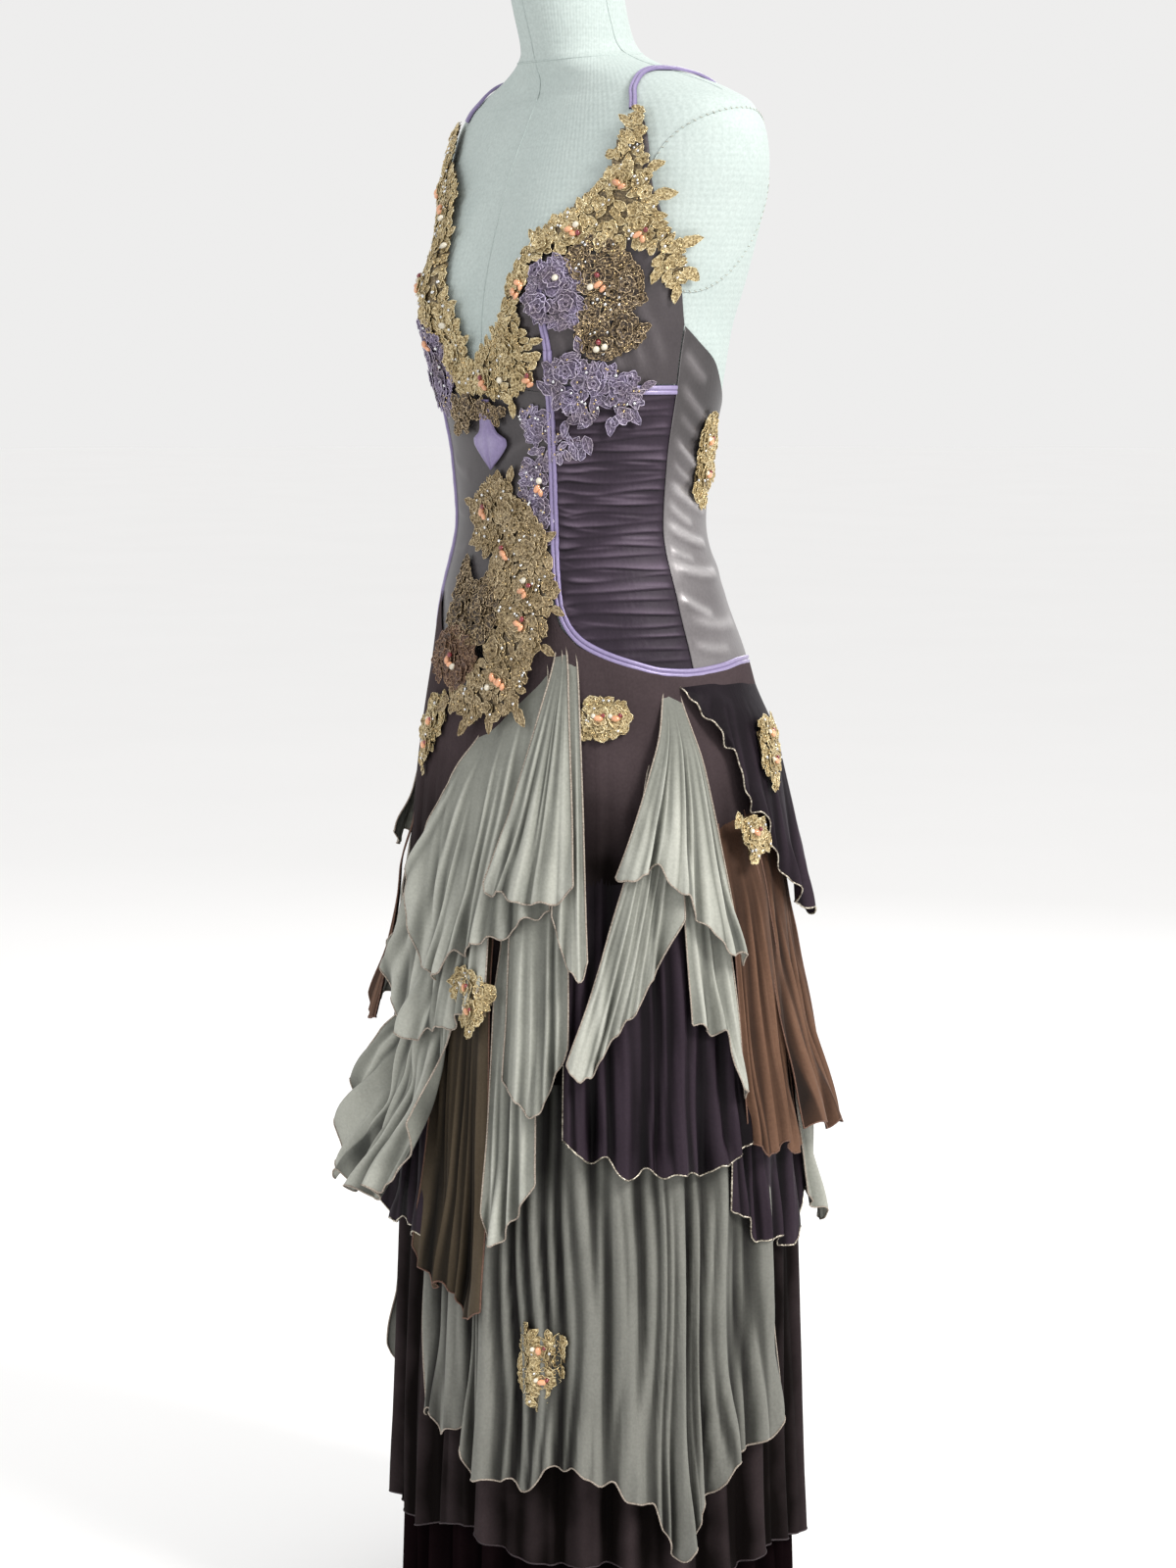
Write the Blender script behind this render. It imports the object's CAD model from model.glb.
"""Layered evening gown on a limbless dress form: cloth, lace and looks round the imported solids.

Tables are in millimetres and degrees, in the same frame as the solids. A turn is measured from the
front (-Y) towards the wearer's left (+X). Meshes are made in metres.
"""

import math

import bpy
import numpy as np
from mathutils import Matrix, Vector


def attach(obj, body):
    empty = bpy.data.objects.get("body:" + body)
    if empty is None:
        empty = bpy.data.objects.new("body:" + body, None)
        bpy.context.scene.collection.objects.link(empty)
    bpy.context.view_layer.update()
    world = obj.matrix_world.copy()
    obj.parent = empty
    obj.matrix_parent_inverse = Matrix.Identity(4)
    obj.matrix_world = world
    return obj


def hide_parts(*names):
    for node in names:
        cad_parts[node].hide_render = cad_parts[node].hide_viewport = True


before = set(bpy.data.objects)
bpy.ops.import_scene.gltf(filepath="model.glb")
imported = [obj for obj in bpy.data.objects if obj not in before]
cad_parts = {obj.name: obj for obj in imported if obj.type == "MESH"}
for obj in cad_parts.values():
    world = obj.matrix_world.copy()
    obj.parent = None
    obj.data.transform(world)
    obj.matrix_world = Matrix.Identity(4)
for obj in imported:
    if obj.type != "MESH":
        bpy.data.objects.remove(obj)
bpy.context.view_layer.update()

# Driving sizes; the two per-degree values are millimetres of cloth to a degree of turn.
MM = 0.001
BODICE_OUT = 2.5
SEAM = 0.35
PIPING_WIDTH = 8.0
PIPING_OUT = 2.0
PIPING_OVER_CUP = 3.6
STRAP_WIDTH = 7.0
SKIRT_BREAK = 912.0
OVERLAY_LEVEL = 1.3
SEWN_GAP = 1.3
SUPERELLIPSE = 2.15
HEM_RADIUS = 0.85
LEVEL_GAP = 1.3
LEVEL_GROWTH = 0.0118
FOLD_SCALE = 1.3
HEM_WAVE = 1.5
CLOTH_STEP_ACROSS = 2.6
CLOTH_STEP_DOWN = 6.5
PER_DEGREE = 2.5
HEM_PER_DEGREE = 2.9
ON_BODY = np.array([PER_DEGREE, 1.0])
FORM_BOTTOM = 690.0
FORM_TOP = 1540.0
CAMERA_SENSOR = 36.0
CAMERA_AZIMUTH = 54.0
CAMERA_PITCH = 7.98
CAMERA_DISTANCE = 3.0
CAMERA_HEIGHT = 1.22
CAMERA_LENS = 75.6


def table(names, rows):
    """Turns rows of numbers into named columns."""
    values = np.array(rows, float)
    return {name: values[:, i] for i, name in enumerate(names.split())}


# Sections of the dress form from its underside to the top of the neck
FORM = table("height half front back centre", [
    [690, 96, -66, 84, 8], [700, 132, -100, 116, 8], [725, 152, -117, 132, 7], [780, 165, -127, 140, 6],
    [840, 168, -130, 140, 5], [915, 157, -125, 128, 2], [975, 143, -118, 106, -5], [1044, 124, -107, 90, -8],
    [1100, 128, -111, 94, -7], [1162, 138, -119, 106, -4], [1211, 143, -107, 114, 0], [1265, 161, -101, 123, 8],
    [1320, 181, -92, 126, 16], [1360, 194, -80, 118, 20], [1385, 196, -69, 107, 21], [1408, 183, -59, 95, 20],
    [1421, 157, -53, 84, 17], [1431, 127, -52, 74, 13], [1440, 95, -55, 63, 7], [1449, 68, -58, 52, 0],
    [1458, 53, -60, 44, -7], [1470, 49, -63, 37, -13], [1498, 48, -71, 29, -21], [1540, 50, -80, 22, -29],
])

# Sections of the innermost skirt layer
SKIRT = table("height half front back centre", [
    [10, 176, -154, 176, 8], [200, 173, -151, 172, 8], [400, 173, -147, 167, 8], [600, 176, -145, 161, 7],
    [720, 177, -143, 156, 6], [780, 176, -140, 152, 6], [840, 172.5, -135.5, 146, 5],
    [915, 158.9, -126.9, 129.9, 2], [975, 144.9, -119.9, 107.9, -5], [1044, 125.9, -108.9, 91.9, -8],
])

# How far the skirt's shared flutes and its finer ripples stand out at each height
FLUTE_DEPTH = table("height out ripple", [
    [0, 26, 9.5], [250, 22, 9.0], [450, 18.5, 7.5], [600, 14.5, 5.8], [680, 11, 4.4], [740, 7.6, 3.2],
    [800, 4.0, 1.9], [850, 1.4, 0.8], [890, 0.2, 0.2], [1000, 0, 0],
])

# Crests of the shared flutes round the skirt
FLUTES = table("turn wide out", [
    [-172, 5.5, 1.0], [-156, 5.0, 0.8], [-141, 5.5, 1.1], [-127, 4.8, 0.8], [-112, 5.4, 1.0], [-96, 5.2, 1.15],
    [-81, 5.0, 0.8], [-67, 5.2, 1.0], [-51, 5.6, 1.1], [-36, 5.0, 1.0], [-21, 5.0, 0.85], [-7, 5.2, 1.0],
    [8, 4.8, 0.9], [22, 5.2, 1.1], [36, 4.8, 0.8], [50, 4.8, 1.0], [62, 4.6, 1.1], [75, 5.2, 1.25],
    [90, 5.2, 0.95], [104, 5.0, 1.1], [118, 5.2, 0.85], [132, 5.4, 1.1], [147, 5.2, 0.8], [162, 5.6, 1.05],
])

# Finer ripples between the flutes; each drifts sideways on its way down.
RIPPLES = table("turn wide out drift", [
    [-178, 1.9, 0.7, 1], [-167, 1.6, 0.9, -1], [-161, 2.2, 0.6, 2], [-150, 1.8, 0.9, 1], [-146, 1.5, 0.5, -2],
    [-134, 2.0, 0.8, 0], [-121, 1.7, 1.0, 1], [-117, 1.5, 0.5, 0], [-105, 2.1, 0.8, -1], [-101, 1.6, 0.6, 1],
    [-89, 1.8, 0.9, 1], [-76, 1.6, 0.8, -1], [-71, 2.1, 0.6, 0], [-60, 1.9, 0.9, 1], [-55, 1.5, 0.5, -1],
    [-43, 1.8, 0.9, 0], [-31, 1.7, 0.7, 2], [-27, 1.5, 0.8, -1], [-14, 2.0, 0.9, 1], [-2, 1.6, 0.7, 0],
    [2, 1.5, 0.9, 1], [13.5, 1.8, 0.8, -1], [17, 1.4, 0.6, 1], [28, 1.7, 0.9, 1], [31.5, 1.4, 0.6, -1],
    [42, 1.6, 0.8, 0], [45.5, 1.4, 0.5, 1], [55.5, 1.5, 0.9, -1], [68, 1.7, 0.8, 1], [71, 1.4, 0.5, -1],
    [81.5, 1.6, 0.9, 0], [85, 1.5, 0.6, 1], [96.5, 1.8, 0.8, -1], [99.5, 1.4, 0.5, 1], [110.5, 1.7, 0.9, 0],
    [124, 1.8, 0.8, 1], [127, 1.5, 0.5, -1], [138.5, 1.9, 0.9, 1], [152, 1.7, 0.7, -1], [156, 1.5, 0.8, 0],
    [169, 1.9, 0.8, 1], [174, 1.5, 0.6, -1],
])

# The seam that the piping follows, from the cup down the front and round the hip to the back
PRINCESS = table("turn height", [
    [40.2, 1197], [41, 1160], [42, 1092], [43, 1024], [43.9, 994], [45, 976], [47.6, 958],
    [52, 944.5], [59, 934], [68, 925], [78, 917.5], [88, 915.5], [100, 917.5], [113, 920.5], [128, 918.5],
    [142, 914], [160, 908.5], [179.8, 905],
])

# Where each strap lies, from the tip of the cup over the shoulder to the top of the back
STRAP = table("turn height", [
    [63.1, 1401], [64.5, 1415], [68.8, 1427], [75.3, 1434], [84, 1437], [93.9, 1437.4], [105.7, 1434],
    [114, 1427], [120.5, 1415], [126.9, 1395], [133.5, 1365], [139.8, 1320], [143.8, 1270], [146.7, 1220],
    [149.7, 1175], [151.4, 1129],
])


def smooth_curve(knots, values, at):
    """Smooth curve through the knots that never overshoots them."""
    at = np.clip(np.asarray(at, float), knots[0], knots[-1])
    spans = np.diff(knots)
    slopes = np.diff(values) / spans
    tangents = np.empty(len(knots))
    tangents[0], tangents[-1] = slopes[0], slopes[-1]
    product = slopes[:-1] * slopes[1:]
    total = slopes[:-1] + slopes[1:]
    tangents[1:-1] = np.where(product > 0, 2 * product / np.where(total == 0, 1, total), 0)
    i = np.searchsorted(knots[1:-1], at, side="left")
    t = (at - knots[i]) / spans[i]
    start = (1 + 2 * t) * (1 - t) ** 2 * values[i] + t * (1 - t) ** 2 * spans[i] * tangents[i]
    end = t * t * (3 - 2 * t) * values[i + 1] + t * t * (t - 1) * spans[i] * tangents[i + 1]
    return start + end


def along(rows, column, height):
    """Value of a table's column at a height."""
    return smooth_curve(rows["height"], rows[column], height)


def bell(x, wide):
    return np.exp(-((x / wide) ** 2))


def wrap(turn):
    return (np.asarray(turn, float) + 180) % 360 - 180


def ease(t):
    held = np.clip(t, 0, 1)
    return held * held * (3 - 2 * held)


def bust(turn, height):
    """How far the bust stands out of the form's sections."""
    tall = np.where(height < 1230, 48.0, 79.0)
    sides = bell(wrap(turn) - 32, 24) + bell(wrap(turn) + 32, 24)
    return np.where(height < 1040, 0.0, 31 * bell(height - 1230, tall) * sides)


def on_sections(rows, turn, height, out):
    """Points on a family of sections, moved out by a distance."""
    turn, height, out = np.broadcast_arrays(np.asarray(turn, float), np.asarray(height, float), out)
    angle = np.radians(turn)
    half = along(rows, "half", height)
    centre = along(rows, "centre", height)
    front = centre - along(rows, "front", height)
    back = along(rows, "back", height) - centre
    depth = np.where(np.cos(angle) >= 0, front, back)
    total = np.abs(np.sin(angle) / half) ** SUPERELLIPSE + np.abs(np.cos(angle) / depth) ** SUPERELLIPSE
    radius = total ** (-1 / SUPERELLIPSE) + out
    return np.stack([radius * np.sin(angle), centre - radius * np.cos(angle), height], axis=-1)


def on_form(turn, height, out):
    return on_sections(FORM, turn, height, out + bust(turn, height))


def flute(turn):
    """Height of the shared flutes at a turn, from 0 to about 1."""
    return sum(out * bell(wrap(turn - at), wide) for at, wide, out in zip(*FLUTES.values()))


def ripple(turn, height):
    """The finer ripples at a turn and height, from 0 to about 1."""
    low = (500 - height) / 500
    return sum(out * bell(wrap(turn - at - drift * low), wide) for at, wide, out, drift in zip(*RIPPLES.values()))


def level_out(level, height):
    """How far a level stands out from the innermost skirt layer."""
    return level * (LEVEL_GAP + LEVEL_GROWTH * np.maximum(0, SKIRT_BREAK - height))


def skirt_folds(turn, height):
    """Folds that every skirt layer shares, so that the layers never cross."""
    swayed = turn + 1.1 * np.sin(0.011 * height + 0.05 * turn)
    shared = along(FLUTE_DEPTH, "out", height) * (flute(swayed) - 0.4)
    return shared + along(FLUTE_DEPTH, "ripple", height) * (ripple(turn, height) - 0.3)


def on_skirt(level, turn, height, out):
    """Points on a skirt layer: each level hangs clear of the one under it."""
    return on_sections(SKIRT, turn, height, level_out(level, height) + skirt_folds(turn, height) + out)


def beside(line, shift):
    """Shifts a seam line sideways on the body by a distance in millimetres."""
    turn, height = line["turn"], line["height"]
    before = np.maximum(np.arange(len(turn)) - 1, 0)
    after = np.minimum(np.arange(len(turn)) + 1, len(turn) - 1)
    run = (turn[after] - turn[before]) * PER_DEGREE
    rise = height[after] - height[before]
    length = np.hypot(run, rise)
    return {"turn": turn - rise / length * shift / PER_DEGREE, "height": height + run / length * shift}


# Meshes

def new_object(name, points, faces, material, uv=None, tone=None):
    """A smooth mesh from points in millimetres."""
    mesh = bpy.data.meshes.new(name)
    mesh.from_pydata((np.asarray(points) * MM).tolist(), [], faces if isinstance(faces, list) else faces.tolist())
    mesh.polygons.foreach_set("use_smooth", np.ones(len(mesh.polygons), bool))
    if uv is not None:
        layer = mesh.uv_layers.new(name="cloth")
        corners = np.empty(len(mesh.loops), np.int32)
        mesh.loops.foreach_get("vertex_index", corners)
        layer.data.foreach_set("uv", np.asarray(uv, np.float32)[corners].ravel())
    values = np.full(len(mesh.vertices), 0.5) if tone is None else np.asarray(tone, float).ravel()
    shade = mesh.attributes.new("tone", "FLOAT", "POINT")
    shade.data.foreach_set("value", values.astype(np.float32))
    mesh.materials.append(material)
    mesh.update()
    piece = bpy.data.objects.new(name, mesh)
    bpy.context.scene.collection.objects.link(piece)
    return piece


def grid_faces(columns, rows, closed=False):
    """Quads of a grid of points, its columns laid one after the other."""
    i, j = np.meshgrid(np.arange(columns if closed else columns - 1), np.arange(rows - 1), indexing="ij")
    here = (i * rows + j).ravel()
    next_column = ((i + 1) % columns * rows + j).ravel()
    return np.stack([here, here + 1, next_column + 1, next_column], axis=1)


def grid_uv(grid):
    """Lengths along the cloth in metres, measured across and down."""
    across = np.linalg.norm(np.diff(grid, axis=0), axis=2)
    down = np.linalg.norm(np.diff(grid, axis=1), axis=2)
    u = np.concatenate([[0], np.cumsum(across.max(axis=1))])[:, None].repeat(grid.shape[1], axis=1)
    v = np.concatenate([np.zeros((grid.shape[0], 1)), np.cumsum(down, axis=1)], axis=1)
    return np.stack([u, v], axis=-1).reshape(-1, 2) * MM


def tube(path, radius, sides):
    """Points and faces of a tube along a path, with a round end at both sides."""
    path = np.asarray(path, float)
    forward = np.gradient(path, axis=0)
    forward /= np.linalg.norm(forward, axis=1)[:, None]
    normal = np.cross(forward[0], [0.31, 0.17, 0.93])
    normal /= np.linalg.norm(normal)
    normals = []
    for ahead in forward:
        normal = normal - ahead * normal.dot(ahead)
        normal /= np.linalg.norm(normal)
        normals.append(normal)
    normals = np.array(normals)
    sideways = np.cross(forward, normals)
    angles = np.arange(sides) * 2 * math.pi / sides
    ring = normals[:, None] * np.cos(angles)[None, :, None] + sideways[:, None] * np.sin(angles)[None, :, None]
    points = (path[:, None] + ring * np.broadcast_to(radius, len(path))[:, None, None]).reshape(-1, 3)
    faces = []
    for i in range(len(path) - 1):
        for k in range(sides):
            a, b = i * sides + k, i * sides + (k + 1) % sides
            faces.append([a, b, b + sides, a + sides])
    faces.append(list(range(sides))[::-1])
    faces.append([(len(path) - 1) * sides + k for k in range(sides)])
    return points, faces


def even_path(path, step):
    """The same path with points at even distances."""
    path = np.asarray(path, float)
    lengths = np.concatenate([[0], np.cumsum(np.linalg.norm(np.diff(path, axis=0), axis=1))])
    wanted = np.linspace(0, lengths[-1], max(2, int(round(lengths[-1] / step)) + 1))
    return np.stack([np.interp(wanted, lengths, path[:, k]) for k in range(3)], axis=1)


def joined(shapes):
    """Several (points, faces) as one."""
    points, faces, first = [], [], 0
    for shape_points, shape_faces in shapes:
        points.append(np.asarray(shape_points))
        faces.extend([[first + k for k in face] for face in shape_faces])
        first += len(shape_points)
    return np.concatenate(points), faces


def ready(piece, slot, *nodes):
    """The piece moves with the part, takes a record slot's finish and stands for its nodes."""
    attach(piece, "root")
    if nodes:
        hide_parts(*nodes)
    return piece


# Materials

def feed(tree, node, inputs):
    """Gives each input a value, or the output that feeds it."""
    for socket, value in inputs.items():
        if isinstance(value, bpy.types.NodeSocket):
            tree.links.new(value, node.inputs[socket])
        else:
            node.inputs[socket].default_value = value


def add_node(tree, kind, inputs, **settings):
    node = tree.nodes.new("ShaderNode" + kind)
    for name, value in settings.items():
        setattr(node, name, value)
    feed(tree, node, inputs)
    return node


def ramp(tree, factor, stops):
    """A colour ramp through (place, colour) stops."""
    node = add_node(tree, "ValToRGB", {0: factor})
    while len(node.color_ramp.elements) < len(stops):
        node.color_ramp.elements.new(0.5)
    for element, (place, colour) in zip(node.color_ramp.elements, stops):
        element.position = place
        element.color = (*colour, 1)
    return node.outputs[0]


def noise(tree, place, scale, detail=2.0):
    return add_node(tree, "TexNoise", {"Scale": scale, "Detail": detail, "Vector": place}).outputs["Fac"]


def bump(tree, height, strength, distance, **others):
    sockets = {"Strength": strength, "Distance": distance, "Height": height, **others}
    return add_node(tree, "Bump", sockets).outputs["Normal"]


def multiplied(tree, first, second):
    return add_node(tree, "Mix", {0: 1.0, 6: first, 7: second}, data_type="RGBA", blend_type="MULTIPLY").outputs[2]


def weave_height(tree, place, threads_per_metre):
    """Crossing threads as a height."""
    sockets = {"Scale": threads_per_metre / 20, "Distortion": 0.6, "Detail": 1.0, "Vector": place}
    waves = [add_node(tree, "TexWave", sockets, bands_direction=way).outputs["Fac"] for way in ("X", "Y")]
    return add_node(tree, "Math", {0: waves[0], 1: waves[1]}, operation="ADD").outputs[0]


def blank_material(name):
    """A material, its node tree, its shader and the coordinates that its textures lie in."""
    material = bpy.data.materials.new(name)
    material.use_nodes = True
    tree = material.node_tree
    return material, tree, tree.nodes["Principled BSDF"], add_node(tree, "TexCoord", {}).outputs


def cloth_material(name, dark, base, light, rough, sheen, threads=900.0, weave=0.12, crumple=0.25, metal=0.0,
                   gloss=0.5, tint=(1.0, 1.0, 1.0)):
    """Woven cloth: darker in its valleys, paler on its crests, with a weave and fine crumples."""
    material, tree, shader, place = blank_material(name)
    tone = add_node(tree, "Attribute", {}, attribute_name="tone").outputs["Fac"]
    broad = noise(tree, place["Object"], 14.0, 3.0)
    blotches = add_node(tree, "Math", {0: broad, 1: 0.45, 2: -0.225}, operation="MULTIPLY_ADD").outputs[0]
    shade = add_node(tree, "Math", {0: blotches, 1: tone}, operation="ADD", use_clamp=True).outputs[0]
    colour = ramp(tree, shade, [(0.0, dark), (0.5, base), (1.0, light)])
    grain = ramp(tree, noise(tree, place["Object"], 420.0), [(0.3, (0.86, 0.86, 0.86)), (0.7, (1.0, 1.0, 1.0))])
    soft = bump(tree, noise(tree, place["Object"], 55.0, 4.0), crumple, 0.004)
    close = bump(tree, weave_height(tree, place["UV"], threads), weave, 0.0004, Normal=soft)
    feed(tree, shader, {
        "Base Color": multiplied(tree, colour, grain), "Roughness": rough, "Metallic": metal,
        "Specular IOR Level": gloss, "Sheen Weight": sheen, "Sheen Roughness": 0.45, "Sheen Tint": (*tint, 1),
        "Normal": close,
    })
    return material


def thread_material(name, dark, light, rough, metal=0.0, scale=900.0, strength=0.4):
    """Cord, thread or metal thread with a fine twist."""
    material, tree, shader, place = blank_material(name)
    spots = noise(tree, place["Object"], scale)
    feed(tree, shader, {
        "Base Color": ramp(tree, spots, [(0.35, dark), (0.65, light)]), "Roughness": rough, "Metallic": metal,
        "Normal": bump(tree, spots, strength, 0.0006),
    })
    return material


SAGE = cloth_material("sage chiffon", (0.05, 0.052, 0.045), (0.225, 0.23, 0.20), (0.43, 0.435, 0.385),
                      rough=0.65, sheen=0.05, gloss=0.2, crumple=0.4)
SAGE_TIER = cloth_material("sage chiffon over plum", (0.010, 0.009, 0.0085), (0.075, 0.075, 0.066),
                           (0.20, 0.20, 0.178), rough=0.65, sheen=0.03, gloss=0.12, crumple=0.4)
BROWN = cloth_material("brown chiffon", (0.010, 0.005, 0.003), (0.055, 0.027, 0.016), (0.15, 0.08, 0.05),
                       rough=0.65, sheen=0.03, gloss=0.12, crumple=0.35)
OLIVE = cloth_material("olive brown chiffon", (0.005, 0.0035, 0.002), (0.027, 0.02, 0.0125), (0.08, 0.06, 0.038),
                       rough=0.65, sheen=0.02, gloss=0.12, crumple=0.35)
PLUM = cloth_material("plum chiffon", (0.001, 0.0006, 0.001), (0.007, 0.0042, 0.0066), (0.03, 0.02, 0.029),
                      rough=0.6, sheen=0.02, gloss=0.1, tint=(0.9, 0.8, 1.0))
DEEP = cloth_material("deep plum chiffon", (0.0006, 0.0003, 0.0004), (0.003, 0.0016, 0.002), (0.011, 0.006, 0.007),
                      rough=0.8, sheen=0.0, gloss=0.0)
RUCHE = cloth_material("ruched plum chiffon", (0.003, 0.002, 0.0035), (0.034, 0.0235, 0.036), (0.115, 0.086, 0.12),
                       rough=0.55, sheen=0.04, gloss=0.15, crumple=0.4, tint=(0.9, 0.85, 1.0))
SATIN = cloth_material("taupe satin", (0.035, 0.031, 0.032), (0.155, 0.142, 0.146), (0.42, 0.40, 0.405),
                       rough=0.33, sheen=0.03, weave=0.05, crumple=0.05, metal=0.45)
FRONT_SATIN = cloth_material("front satin", (0.015, 0.013, 0.014), (0.06, 0.053, 0.056), (0.17, 0.155, 0.16),
                             rough=0.36, sheen=0.02, weave=0.05, crumple=0.05, metal=0.3)
CUP = cloth_material("cup satin under chiffon", (0.02, 0.016, 0.018), (0.065, 0.055, 0.059), (0.17, 0.15, 0.157),
                     rough=0.34, sheen=0.05, weave=0.08, crumple=0.08, metal=0.4)
LILAC = cloth_material("lilac satin", (0.09, 0.068, 0.15), (0.235, 0.19, 0.35), (0.50, 0.45, 0.64),
                       rough=0.34, sheen=0.05, weave=0.06, crumple=0.06, metal=0.15)
CANVAS = cloth_material("mint canvas", (0.35, 0.415, 0.40), (0.455, 0.52, 0.50), (0.53, 0.585, 0.56),
                        rough=0.85, sheen=0.04, gloss=0.2, threads=1100.0, weave=0.3, crumple=0.1)
SHEER = cloth_material("sheer brown chiffon", (0.0008, 0.0005, 0.0005), (0.005, 0.0036, 0.0034), (0.06, 0.044, 0.047),
                       rough=0.75, sheen=0.0, gloss=0.02)
SAGE_HEM = thread_material("sage rolled hem", (0.20, 0.155, 0.125), (0.44, 0.385, 0.32), rough=0.7)
BROWN_HEM = thread_material("brown rolled hem", (0.075, 0.035, 0.022), (0.17, 0.085, 0.055), rough=0.7)
METAL_HEM = thread_material("metal thread hem", (0.12, 0.09, 0.07), (0.72, 0.66, 0.54), rough=0.35, metal=0.75,
                            scale=520.0)
DARK_HEM = thread_material("dark rolled hem", (0.012, 0.006, 0.008), (0.035, 0.02, 0.024), rough=0.7)
STITCH = thread_material("seam thread", (0.30, 0.30, 0.26), (0.46, 0.45, 0.39), rough=0.8)


# Cloth that hangs from the hips

def smooth_rows(rows, count):
    """Threads at even shares of a piece's width, laid smoothly through its table's rows."""
    rows = np.array(rows, float)
    share = np.linspace(0, 1, count)
    knots = np.arange(len(rows), dtype=float)
    at = share * (len(rows) - 1)
    columns = [smooth_curve(knots, rows[:, k], at) if len(rows) > 2 else np.interp(at, knots, rows[:, k])
               for k in range(4)]
    return share, columns


def mirrored(rows):
    """The same piece on the other side of the body."""
    return [[-top, top_height, -hem, hem_height] for top, top_height, hem, hem_height in reversed(rows)]


def add_cloth(name, grid, material, slot, tone, nodes, hem=None, closed=False):
    """A piece of cloth from its grid, with the hem that goes with it and the size that it was cut to.

    A grid that is closed runs all round; a band folded to two layers is cut half as wide as its face and back.
    """
    faces = grid_faces(*grid.shape[:2], closed=closed)
    piece = ready(new_object(name, grid.reshape(-1, 3), faces, material, grid_uv(grid), tone), slot, *nodes)
    edges = [hem()] if hem else []


def rolled_hem(name, grid, material, slot, sides_too):
    """A thin rolled edge down one side, along the hem and up the other side."""
    hem = grid[:, -1]
    path = np.concatenate([grid[0, 1:-1], hem, grid[-1, 1:-1][::-1]]) if sides_too else hem
    return ready(new_object("hem_" + name, *tube(even_path(path, 3.2), HEM_RADIUS, 4), material), slot)


def hem_curl(share, down, width, seed, depth):
    """Small waves in the last part of a piece, where the rolled hem has stretched the cloth."""
    chance = np.random.default_rng(seed)
    waves = 0.9
    for length, part in ((19.0, 0.5), (31.0, 0.8), (53.0, 0.9)):
        waves = waves + part * np.sin(share * width / length * 2 * math.pi + chance.uniform(0, 6.28))
    return depth * waves * ease((down - 0.7) / 0.3)


def add_layer(name, level, rows, material, slot, hem_material, folds=(), creases=(), flare=0.0, flare_from=0.35,
              curl=1.6, seed=1, room=1.0):
    """A hanging layer, sewn to the overlay along its top edge.

    rows hold turn and height at the top and at the hem. folds and creases are rows of share, wide, out and where
    they start on the way down. room is how much deeper than usual the creases may be.
    """
    array = np.array(rows, float)
    hem_width = np.hypot(np.diff(array[:, 2]) * HEM_PER_DEGREE, np.diff(array[:, 3])).sum()
    length = (array[:, 1] - array[:, 3]).max()
    columns = int(np.clip(hem_width / CLOTH_STEP_ACROSS, 24, 210))
    lines = int(np.clip(length / CLOTH_STEP_DOWN, 18, 56))
    share, (top, top_height, hem, hem_height) = smooth_rows(rows, columns)
    down = np.linspace(0, 1, lines)
    share, down = share[:, None], down[None, :]
    turn = top[:, None] + (hem - top)[:, None] * down
    height = top_height[:, None] + (hem_height - top_height)[:, None] * down
    own = np.zeros(turn.shape)
    for at, wide, out, start in folds:
        own = own + FOLD_SCALE * out * bell(share - at, wide) * ease((down - start) / (1 - start))
    fine = np.zeros(turn.shape)
    for at, wide, out, start in creases:
        off = share - at - 0.012 * np.sin(6 * down + 9 * at)
        fine = fine + out * bell(off, np.where(off < 0, wide * 1.25, wide * 0.8)) * ease((down - start) / 0.35)
    fine = fine * (room * (0.55 + 0.0052 * np.maximum(0, SKIRT_BREAK - height)))
    lean = flare * np.maximum(0, (down - flare_from) / (1 - flare_from)) ** 1.6
    sewn = level_out(OVERLAY_LEVEL, height) + SEWN_GAP - level_out(level, height)
    seat = (sewn - 0.3 * level) * (1 - ease(down / 0.3))
    curled = hem_curl(share, down, hem_width, seed, curl)
    height = height + HEM_WAVE * curled
    grid = on_skirt(level, turn, height, own + fine + lean + seat + HEM_WAVE * curled)
    shared = skirt_folds(turn, height)
    valley = shared - 0.1 * along(FLUTE_DEPTH, "out", height)
    out = own + 1.4 * fine + valley
    dip = (out[6:] + out[:-6]) / 2 - out[3:-3]
    dip = np.concatenate([dip[:1]] * 3 + [dip] + [dip[-1:]] * 3)
    tone = 0.52 + 0.035 * (own - own.mean()) + 0.055 * (fine - fine.mean()) + 0.035 * valley
    tone = tone - 0.09 * np.clip(dip, -3, 4)
    tone = np.clip(tone * np.ones(turn.shape), 0.02, 0.98)
    add_cloth("cloth_" + name, grid, material, slot, tone, [name],
              hem=lambda: rolled_hem(name, grid, hem_material, slot, sides_too=True))


def uneven_creases(seed, count, out):
    """Fine creases at uneven places, for the sides that the photo doesn't show."""
    chance = np.random.default_rng(seed)
    places = (np.arange(count) + chance.uniform(0.15, 0.85, count)) / count
    return [[at, chance.uniform(0.008, 0.022), out * chance.uniform(0.4, 1.0), 0.05 * chance.uniform(0.5, 3)]
            for at in places]


# Cloth, slot and hem of each kind of layer
SAGE_KIND = (SAGE, "sage_chiffon", SAGE_HEM)
TIER_KIND = (SAGE_TIER, "sage_chiffon", SAGE_HEM)
BROWN_KIND = (BROWN, "brown_chiffon", BROWN_HEM)
OLIVE_KIND = (OLIVE, "brown_chiffon", BROWN_HEM)
PLUM_KIND = (PLUM, "plum_chiffon", METAL_HEM)


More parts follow.
